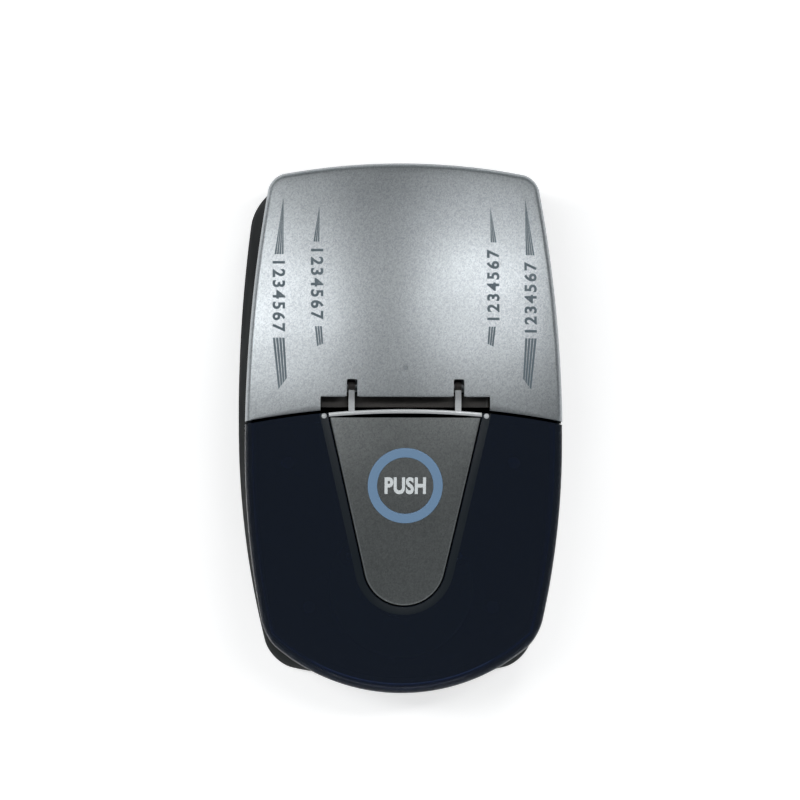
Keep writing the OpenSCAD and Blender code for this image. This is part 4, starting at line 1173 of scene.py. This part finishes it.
def add_node(tree: bpy.types.NodeTree, kind: str, links: dict[str | int, object],
             **settings: object) -> bpy.types.Node:
    """Add a node with its settings; a socket in links is connected, and any other value is set.

    Args:
        tree: Node tree of a material or a world.
        kind: Blender's name of the node.
        links: Value or source socket for each input.
        **settings: Properties of the node.

    Returns:
        The new node.
    """
    node = tree.nodes.new(kind)
    for key, value in settings.items():
        setattr(node, key, value)
    for key, value in links.items():
        if isinstance(value, bpy.types.NodeSocket):
            tree.links.new(value, node.inputs[key])
        else:
            node.inputs[key].default_value = value
    return node


# Brushing draws the grain out across the object, and the broad cloud is this many times its size
BRUSH_STRETCH = (0.06, 1.0, 1.0)
CLOUD_GROWTH = 40


class Grain(Enum):
    """Pattern that a making process leaves on a surface."""

    MOULDED = "moulded"
    FLAKE = "flake"
    BRUSHED = "brushed"


@dataclass(frozen=True)
class Finish:
    """One real material: its colours, gloss and the size and depth of its grain."""

    name: str
    colour: str
    shade: str
    roughness: float
    spread: float = 0.08
    metallic: float = 0.0
    ior: float = 1.5
    grain: Grain = Grain.MOULDED
    grain_mm: float = 0.6
    bump: float = 0.1
    clear: float = 0.0
    specular: float = 0.5
    smoke: str = ""
    smoke_density: float = 0.0

    def make(self) -> bpy.types.Material:
        """Build the material: a fine grain turns the colour, gloss and bump, and a broad cloud the gloss.

        Returns:
            The material.
        """
        material = bpy.data.materials.new(self.name)
        material.use_nodes = True
        tree = material.node_tree
        shader = tree.nodes["Principled BSDF"]
        where = add_node(tree, "ShaderNodeTexCoord", {}).outputs["Object"]
        if self.grain is Grain.BRUSHED:
            where = add_node(tree, "ShaderNodeMapping", {"Vector": where, "Scale": BRUSH_STRETCH}).outputs[0]
        size = 1 / (self.grain_mm * MM)
        fine = {"Vector": where, "Scale": size}
        if self.grain is Grain.FLAKE:
            flakes = add_node(tree, "ShaderNodeTexVoronoi", fine).outputs["Color"]
            grey = add_node(tree, "ShaderNodeRGBToBW", {0: flakes}).outputs[0]
        else:
            grey = add_node(tree, "ShaderNodeTexNoise", {**fine, "Detail": 3.0}).outputs[0]
        broad = {"Vector": where, "Scale": size / CLOUD_GROWTH, "Detail": 2.0}
        cloud = add_node(tree, "ShaderNodeTexNoise", broad).outputs[0]
        # Sockets 6 and 7 of the Mix node are its two colours, and output 2 is the mixed one
        tints = {0: grey, 6: linear(self.shade), 7: linear(self.colour)}
        mix = add_node(tree, "ShaderNodeMix", tints, data_type="RGBA")
        tree.links.new(mix.outputs[2], shader.inputs["Base Color"])
        span = {"From Min": 0.3, "From Max": 0.7, "To Min": max(0.02, self.roughness - self.spread),
                "To Max": self.roughness + self.spread}
        gloss = add_node(tree, "ShaderNodeMapRange", {"Value": cloud, **span})
        tree.links.new(gloss.outputs[0], shader.inputs["Roughness"])
        if self.bump > 0:
            depth = {"Strength": self.bump, "Distance": 0.1 * self.grain_mm * MM, "Height": grey}
            relief = add_node(tree, "ShaderNodeBump", depth)
            tree.links.new(relief.outputs[0], shader.inputs["Normal"])
        shader.inputs["Metallic"].default_value = self.metallic
        shader.inputs["IOR"].default_value = self.ior
        shader.inputs["Transmission Weight"].default_value = self.clear
        shader.inputs["Specular IOR Level"].default_value = self.specular
        if self.smoke:
            body = {"Color": linear(self.smoke), "Density": self.smoke_density}
            smoke = add_node(tree, "ShaderNodeVolumeAbsorption", body)
            tree.links.new(smoke.outputs[0], tree.nodes["Material Output"].inputs["Volume"])
        return material


class Finishes(Enum):
    """Finishes of the object, each for one material slot of the record."""

    # Silver lacquer with fine aluminium flake on ABS: broad soft highlights that fall away into grey
    SILVER_PAINT = Finish("silver_lacquer_on_abs", "#b1b6b9", "#92979a", 0.34, 0.02, 0.9, grain=Grain.FLAKE,
                          grain_mm=0.36, bump=0.05)
    # Silver lacquer with flake on the tongue: the cover's paint, with painted shade that makes it warmer and
    # darker
    SHADED_TONGUE_PAINT = Finish("silver_lacquer_painted_shade", "#abafaf", "#8c9090", 0.3, 0.02, 0.9, grain=Grain.FLAKE,
                          grain_mm=0.36, bump=0.05)
    # Smoked polycarbonate with a satin polish: a dark blue depth and soft reflections
    SMOKED_LID = Finish("smoked_polycarbonate", "#8ba0c4", "#8499bd", 0.12, 0.02, ior=1.15, grain_mm=1.5,
                        bump=0.0, clear=0.96, specular=0.5, smoke="#7a93b8", smoke_density=1300.0)
    # Bead-blasted smoked polycarbonate on the bevel: blue-grey and satin
    SATIN_SMOKE = Finish("blasted_polycarbonate", "#1b2228", "#171e24", 0.4, grain_mm=0.4, bump=0.1,
                         specular=0.3)
    # Black ABS with a spark-eroded texture: dull grey-black with fine pits
    BLACK_ABS = Finish("black_abs", "#171b1d", "#0d1112", 0.65, 0.07, grain_mm=0.5, bump=0.35, specular=0.03)
    # Brownish black, half dull, in the trough and on the hinge sleeves: painted shade of the shadowed hollow
    # under the hinge arms
    TROUGH_SHADE = Finish("trough_painted_shade", "#3a3633", "#26231f", 0.45, grain_mm=0.6, bump=0.2)
    # Bright silver lacquer on the zinc hinge arms: pale, half metallic
    BRIGHT_STRIP = Finish("bright_lacquer_on_zinc", "#d8dbdc", "#cacdcf", 0.35, 0.05, 0.35, grain=Grain.FLAKE,
                          grain_mm=0.3, bump=0.05)
    # Pale blue polycarbonate ring, satin
    BLUE_RING = Finish("pale_blue_polycarbonate", "#7795b4", "#7290af", 0.45, 0.05, grain_mm=0.5, bump=0.05,
                       specular=0.3)
    # Foamed neoprene pad: olive, dull, with an open skin
    STAGE_PAD = Finish("olive_neoprene", "#7d8a3a", "#5f6b2a", 0.8, grain_mm=0.7, bump=0.6)
    # Float glass of the stage window: clear and slightly green
    CLEAR_GLASS = Finish("float_glass", "#dfeee9", "#d8e8e3", 0.04, 0.01, ior=1.52, grain_mm=2.0, bump=0.0,
                         clear=1.0)
    # Violet optical filter glass
    FILTER_GLASS = Finish("violet_filter_glass", "#4a3a86", "#403176", 0.05, 0.02, ior=1.52, grain_mm=2.0,
                          bump=0.0, clear=0.6)
    # Water-clear epoxy of the lamps, faintly blue
    LAMP_RESIN = Finish("clear_epoxy", "#d5def2", "#c6d1ea", 0.1, 0.03, ior=1.55, grain_mm=1.0, bump=0.0,
                        clear=0.7)
    # Clear acrylic light guide
    CLEAR_PLASTIC = Finish("clear_acrylic", "#e6eef2", "#dbe5ea", 0.08, 0.03, ior=1.49, grain_mm=1.0,
                           bump=0.0, clear=0.6)
    # Glass-fibre laminate with green solder resist: satin with a woven undertone
    BOARD = Finish("solder_resist_laminate", "#1f6b3c", "#175230", 0.35, grain_mm=0.5, bump=0.15)
    # Moulded epoxy of chips: matt black
    CHIP = Finish("moulded_epoxy", "#24282b", "#1a1d20", 0.6, grain_mm=0.3, bump=0.3)
    # Zinc-plated steel of the hinge's pin and bracket and of the spring
    STEEL = Finish("zinc_plated_steel", "#b7bbbe", "#9ea3a6", 0.32, 0.08, 1.0, grain=Grain.BRUSHED,
                   grain_mm=0.3, bump=0.1)
    # Nickel-plated spring sheet of the contacts, slightly warm
    CONTACT = Finish("nickel_spring_sheet", "#d2cdbd", "#b9b4a4", 0.3, 0.06, 1.0, grain=Grain.BRUSHED,
                     grain_mm=0.3, bump=0.1)
    # Passivated steel of the screws: grey, half bright
    SCREW = Finish("passivated_steel", "#8d9194", "#74787b", 0.38, 0.08, 1.0, grain_mm=0.4, bump=0.15)
    # Printed sleeve of the cells: smooth green film
    CELL = Finish("shrink_film", "#3d6f58", "#356350", 0.3, grain_mm=1.2, bump=0.05)
    # Moulded rubber of the feet: dull black
    RUBBER = Finish("moulded_rubber", "#1b1c1d", "#121314", 0.75, grain_mm=0.6, bump=0.4)
    # Pale acetal of plunger and thumb piece: off-white, satin
    PALE = Finish("pale_acetal", "#dedcd4", "#d2d0c8", 0.4, grain_mm=0.6, bump=0.1)
    # Pad-printed grey-blue ink: flat and slightly satin
    INK = Finish("grey_blue_ink", "#5f6d75", "#57656d", 0.5, grain_mm=0.4, bump=0.1)
    # Pad-printed off-white ink
    PALE_INK = Finish("off_white_ink", "#e4e9ea", "#dbe1e3", 0.5, grain_mm=0.4, bump=0.1)


class Workshop:
    """Gives pieces and nodes their finish, keeping one material for each."""

    def __init__(self, nodes: dict[str, bpy.types.Object]) -> None:
        """Keep the CAD nodes at hand."""
        self.nodes = nodes
        self.made: dict[Finishes, bpy.types.Material] = {}

    def coat(self, piece: bpy.types.Object, finish: Finishes) -> None:
        """Put a finish on a piece as its only material."""
        if finish not in self.made:
            self.made[finish] = finish.value.make()
        piece.data.materials.clear()
        piece.data.materials.append(self.made[finish])

    def add(self, piece: bpy.types.Object, finish: Finishes, body: str, slot: str,
            stands_for: str = "") -> None:
        """Dress a new piece, let it ride on a body and hide the CAD node that it stands for.

        Args:
            piece: New piece.
            finish: Its finish.
            body: CAD body that it moves with.
            slot: Material slot of the record; not used.
            stands_for: CAD node that it replaces, if any.
        """
        self.coat(piece, finish)
        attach(piece, body)
        if stands_for:
            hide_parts(stands_for)
        LOG.info("piece %s on %s", piece.name, body)

    def dress_nodes(self, finish: Finishes, *names: str) -> None:
        """Put a finish on CAD nodes that stay."""
        for name in names:
            self.coat(self.nodes[name], finish)
            LOG.info("node %s in %s", name, finish.name)


# Studio

@dataclass(frozen=True)
class Softbox:
    """Soft lamp with a rectangular front that looks at a place of the object."""

    name: str
    place: tuple[float, float, float]
    size: tuple[float, float]
    power: float
    mirrored: bool = True
    aim: tuple[float, float, float] = (0.0, 0.02, 0.03)

    def build(self) -> None:
        """Hang the lamp."""
        lamp = bpy.data.lights.new(self.name, "AREA")
        lamp.shape = "RECTANGLE"
        lamp.size, lamp.size_y = self.size
        lamp.energy = self.power
        holder = link(self.name, lamp)
        holder.matrix_world = aimed(np.array(self.place), np.array(self.aim), 0.0)
        holder.visible_glossy = self.mirrored


def aimed(eye: Array, aim: Array, roll: float) -> Matrix:
    """Placing of a camera or lamp at eye that looks at aim, with the object's rear upwards in the picture.

    Args:
        eye: Place.
        aim: Place that it looks at.
        roll: Turn of the picture in radians.

    Returns:
        World matrix.
    """
    back = (eye - aim) / np.linalg.norm(eye - aim)
    right = np.cross(np.array([0.0, 1.0, 0.0]), back)
    right /= np.linalg.norm(right)
    up = np.cross(back, right)
    c, s = np.cos(roll), np.sin(roll)
    turned = np.eye(4)
    turned[:3, 0] = c * right + s * up
    turned[:3, 1] = -s * right + c * up
    turned[:3, 2] = back
    turned[:3, 3] = eye
    return Matrix(turned.tolist())


@dataclass(frozen=True)
class Studio:
    """White floor, plain room, two long soft lamps, fills in front and behind, and the camera overhead."""

    eye: tuple[float, float, float] = (-0.054, -0.01203, 1.0286)
    aim: tuple[float, float, float] = (-0.00093, 0.00895, 0.03)
    roll: float = 0.0009
    focal: float = 3304.5
    frame: float = 800.0
    sensor: float = 36.0
    floor_half: float = 6.0
    floor_drop: float = 0.02
    floor_grey: float = 0.8
    floor_glow: float = 0.53
    wall_light: float = 0.36
    ceiling_light: float = 0.09
    lamps: tuple[Softbox, ...] = (
        Softbox("left_softbox", (-0.68, 0.25, 1.04), (1.05, 0.2), 4.6),
        Softbox("right_softbox", (0.39, 0.26, 1.04), (0.54, 0.1), 2.0),
        Softbox("front_fill", (0.0, -1.5, 0.5), (1.2, 0.3), 11.0, mirrored=False),
        Softbox("rear_fill", (0.5, 1.45, 0.5), (1.2, 0.3), 9.0, mirrored=False))

    def build(self) -> None:
        """Set up the camera, lamps, floor and world."""
        scene = bpy.context.scene
        scene.view_settings.view_transform = "Standard"
        lens = bpy.data.cameras.new("camera")
        lens.sensor_width = self.sensor
        lens.lens = self.focal * self.sensor / self.frame
        lens.clip_start = 0.01
        camera = link("camera", lens)
        camera.matrix_world = aimed(np.array(self.eye), np.array(self.aim), self.roll)
        scene.camera = camera
        for lamp in self.lamps:
            lamp.build()
        self._floor()
        self._world(scene)

    def _floor(self) -> None:
        """White table that shows at full strength to the camera and still takes a soft shadow."""
        h = self.floor_half
        corners = np.array([[-h, -h, 0.0], [h, -h, 0.0], [h, h, 0.0], [-h, h, 0.0]]) / MM
        floor = put_mesh("floor", corners - np.array([0.0, 0.0, self.floor_drop]), np.array([[0, 1, 2, 3]]))
        material = bpy.data.materials.new("white_table")
        material.use_nodes = True
        tree = material.node_tree
        shader = tree.nodes["Principled BSDF"]
        shader.inputs["Base Color"].default_value = (self.floor_grey,) * 3 + (1.0,)
        shader.inputs["Roughness"].default_value = 0.9
        rays = add_node(tree, "ShaderNodeLightPath", {})
        seen = rays.outputs["Is Camera Ray"]
        for kind in ("Is Glossy Ray", "Is Transmission Ray"):
            pair = {0: seen, 1: rays.outputs[kind]}
            seen = add_node(tree, "ShaderNodeMath", pair, operation="MAXIMUM").outputs[0]
        glow = add_node(tree, "ShaderNodeMath", {0: seen, 1: self.floor_glow}, operation="MULTIPLY")
        shader.inputs["Emission Color"].default_value = (1.0, 1.0, 1.0, 1.0)
        tree.links.new(glow.outputs[0], shader.inputs["Emission Strength"])
        floor.data.materials.append(material)

    def _world(self, scene: bpy.types.Scene) -> None:
        """Room with pale walls all round and a dim ceiling, so that metal looks pale from every side."""
        world = bpy.data.worlds.new("room")
        scene.world = world
        world.use_nodes = True
        tree = world.node_tree
        back = tree.nodes["Background"]
        back.inputs["Color"].default_value = (0.92, 0.97, 1.0, 1.0)
        way = add_node(tree, "ShaderNodeTexCoord", {}).outputs["Generated"]
        height = add_node(tree, "ShaderNodeSeparateXYZ", {0: way}).outputs["Z"]
        span = {"From Min": 0.5, "From Max": 0.78, "To Min": self.wall_light, "To Max": self.ceiling_light}
        fade = add_node(tree, "ShaderNodeMapRange", {"Value": height, **span})
        tree.links.new(fade.outputs[0], back.inputs["Strength"])


# Build

STAYING: dict[Finishes, tuple[str, ...]] = {
    Finishes.BLACK_ABS: ("test_deck", "lamp_holder", "battery_tray", "battery_door", "power_socket",
                         "switch_case", "button_tray"),
    Finishes.STAGE_PAD: ("stage_pad",),
    Finishes.CLEAR_GLASS: ("stage_window",),
    Finishes.FILTER_GLASS: ("optical_filter",),
    Finishes.LAMP_RESIN: ("test_lamps", "indicator_lamp"),
    Finishes.CLEAR_PLASTIC: ("light_guide",),
    Finishes.BOARD: ("sensor_board", "main_board", "switch_board"),
    Finishes.CHIP: ("board_chips", "photo_sensor", "buzzer", "test_switch"),
    Finishes.STEEL: ("hinge_bracket", "hinge_pin"),
    Finishes.CONTACT: ("battery_contacts",),
    Finishes.SCREW: ("case_screws", "board_screws", "deck_screws", "bracket_screws", "switch_screws",
                     "tray_screws"),
    Finishes.CELL: ("battery_cells",),
    Finishes.RUBBER: ("rubber_feet",),
    Finishes.PALE: ("switch_plunger", "power_slider"),
}


def main() -> None:
    """Load the frame, build and dress every piece and set up the studio."""
    logging.basicConfig(level=logging.INFO, format="%(name)s: %(message)s")
    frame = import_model()
    shop = Workshop(frame["nodes"])
    for finish, names in STAYING.items():
        shop.dress_nodes(finish, *names)
    cover = RearCover()
    shop.add(cover.build(), Finishes.SILVER_PAINT, "housing", "silver_paint", "rear_cover")
    # The trough's brownish black is painted shade of its shadowed hollow
    shop.add(cover.build_trough(), Finishes.TROUGH_SHADE, "housing", "trough_plastic")
    shop.add(cover.build_lip(), Finishes.SILVER_PAINT, "housing", "silver_paint")
    shop.add(cover.build_gaskets(), Finishes.BLACK_ABS, "housing", "black_abs")
    lid = SmokedLid()
    shop.add(lid.build(), Finishes.SMOKED_LID, "lid", "smoked_lid", "shield_lid")
    shop.add(lid.build_bevel(), Finishes.SATIN_SMOKE, "lid", "smoked_lid")
    # The bright rivet heads are painted glints at the bevel's rear corners
    shop.add(lid.build_glint_rivets(), Finishes.BRIGHT_STRIP, "lid", "bright_strip")
    shop.add(lid.build_skirt(), Finishes.BLACK_ABS, "lid", "black_abs")
    strip = HingeStrip(low=float(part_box("hinge_arms")[0][2]) / MM)
    shop.add(strip.build(), Finishes.BRIGHT_STRIP, "lid", "bright_strip", "hinge_arms")
    # Dark sleeves on the hinge eyes: painted shade in the arm slots
    shop.add(strip.build_shade_sleeves(), Finishes.TROUGH_SHADE, "lid", "trough_plastic")
    tongue = Tongue()
    # The tongue's paint is the cover's silver, made darker as painted shade
    shop.add(tongue.build(), Finishes.SHADED_TONGUE_PAINT, "button", "silver_paint", "test_button")
    shop.add(tongue.build_ring(), Finishes.BLUE_RING, "button", "blue_ring", "button_ring")
    shop.add(tongue.build_word(), Finishes.PALE_INK, "button", "pale_plastic")
    floor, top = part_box("button_spring")
    spring = ReturnSpring(low=float(floor[2]) / MM, high=float(top[2]) / MM)
    coil = spring.build()
    shop.add(coil, Finishes.STEEL, "lid", "steel", "button_spring")
    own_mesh(coil)
    shop.add(BaseTub().build(), Finishes.BLACK_ABS, "housing", "black_abs", "base_shell")
    for piece in SidePrints().build():
        shop.add(piece, Finishes.INK, "housing", "silver_paint")
    Studio().build()


if __name__ == "__main__":
    main()
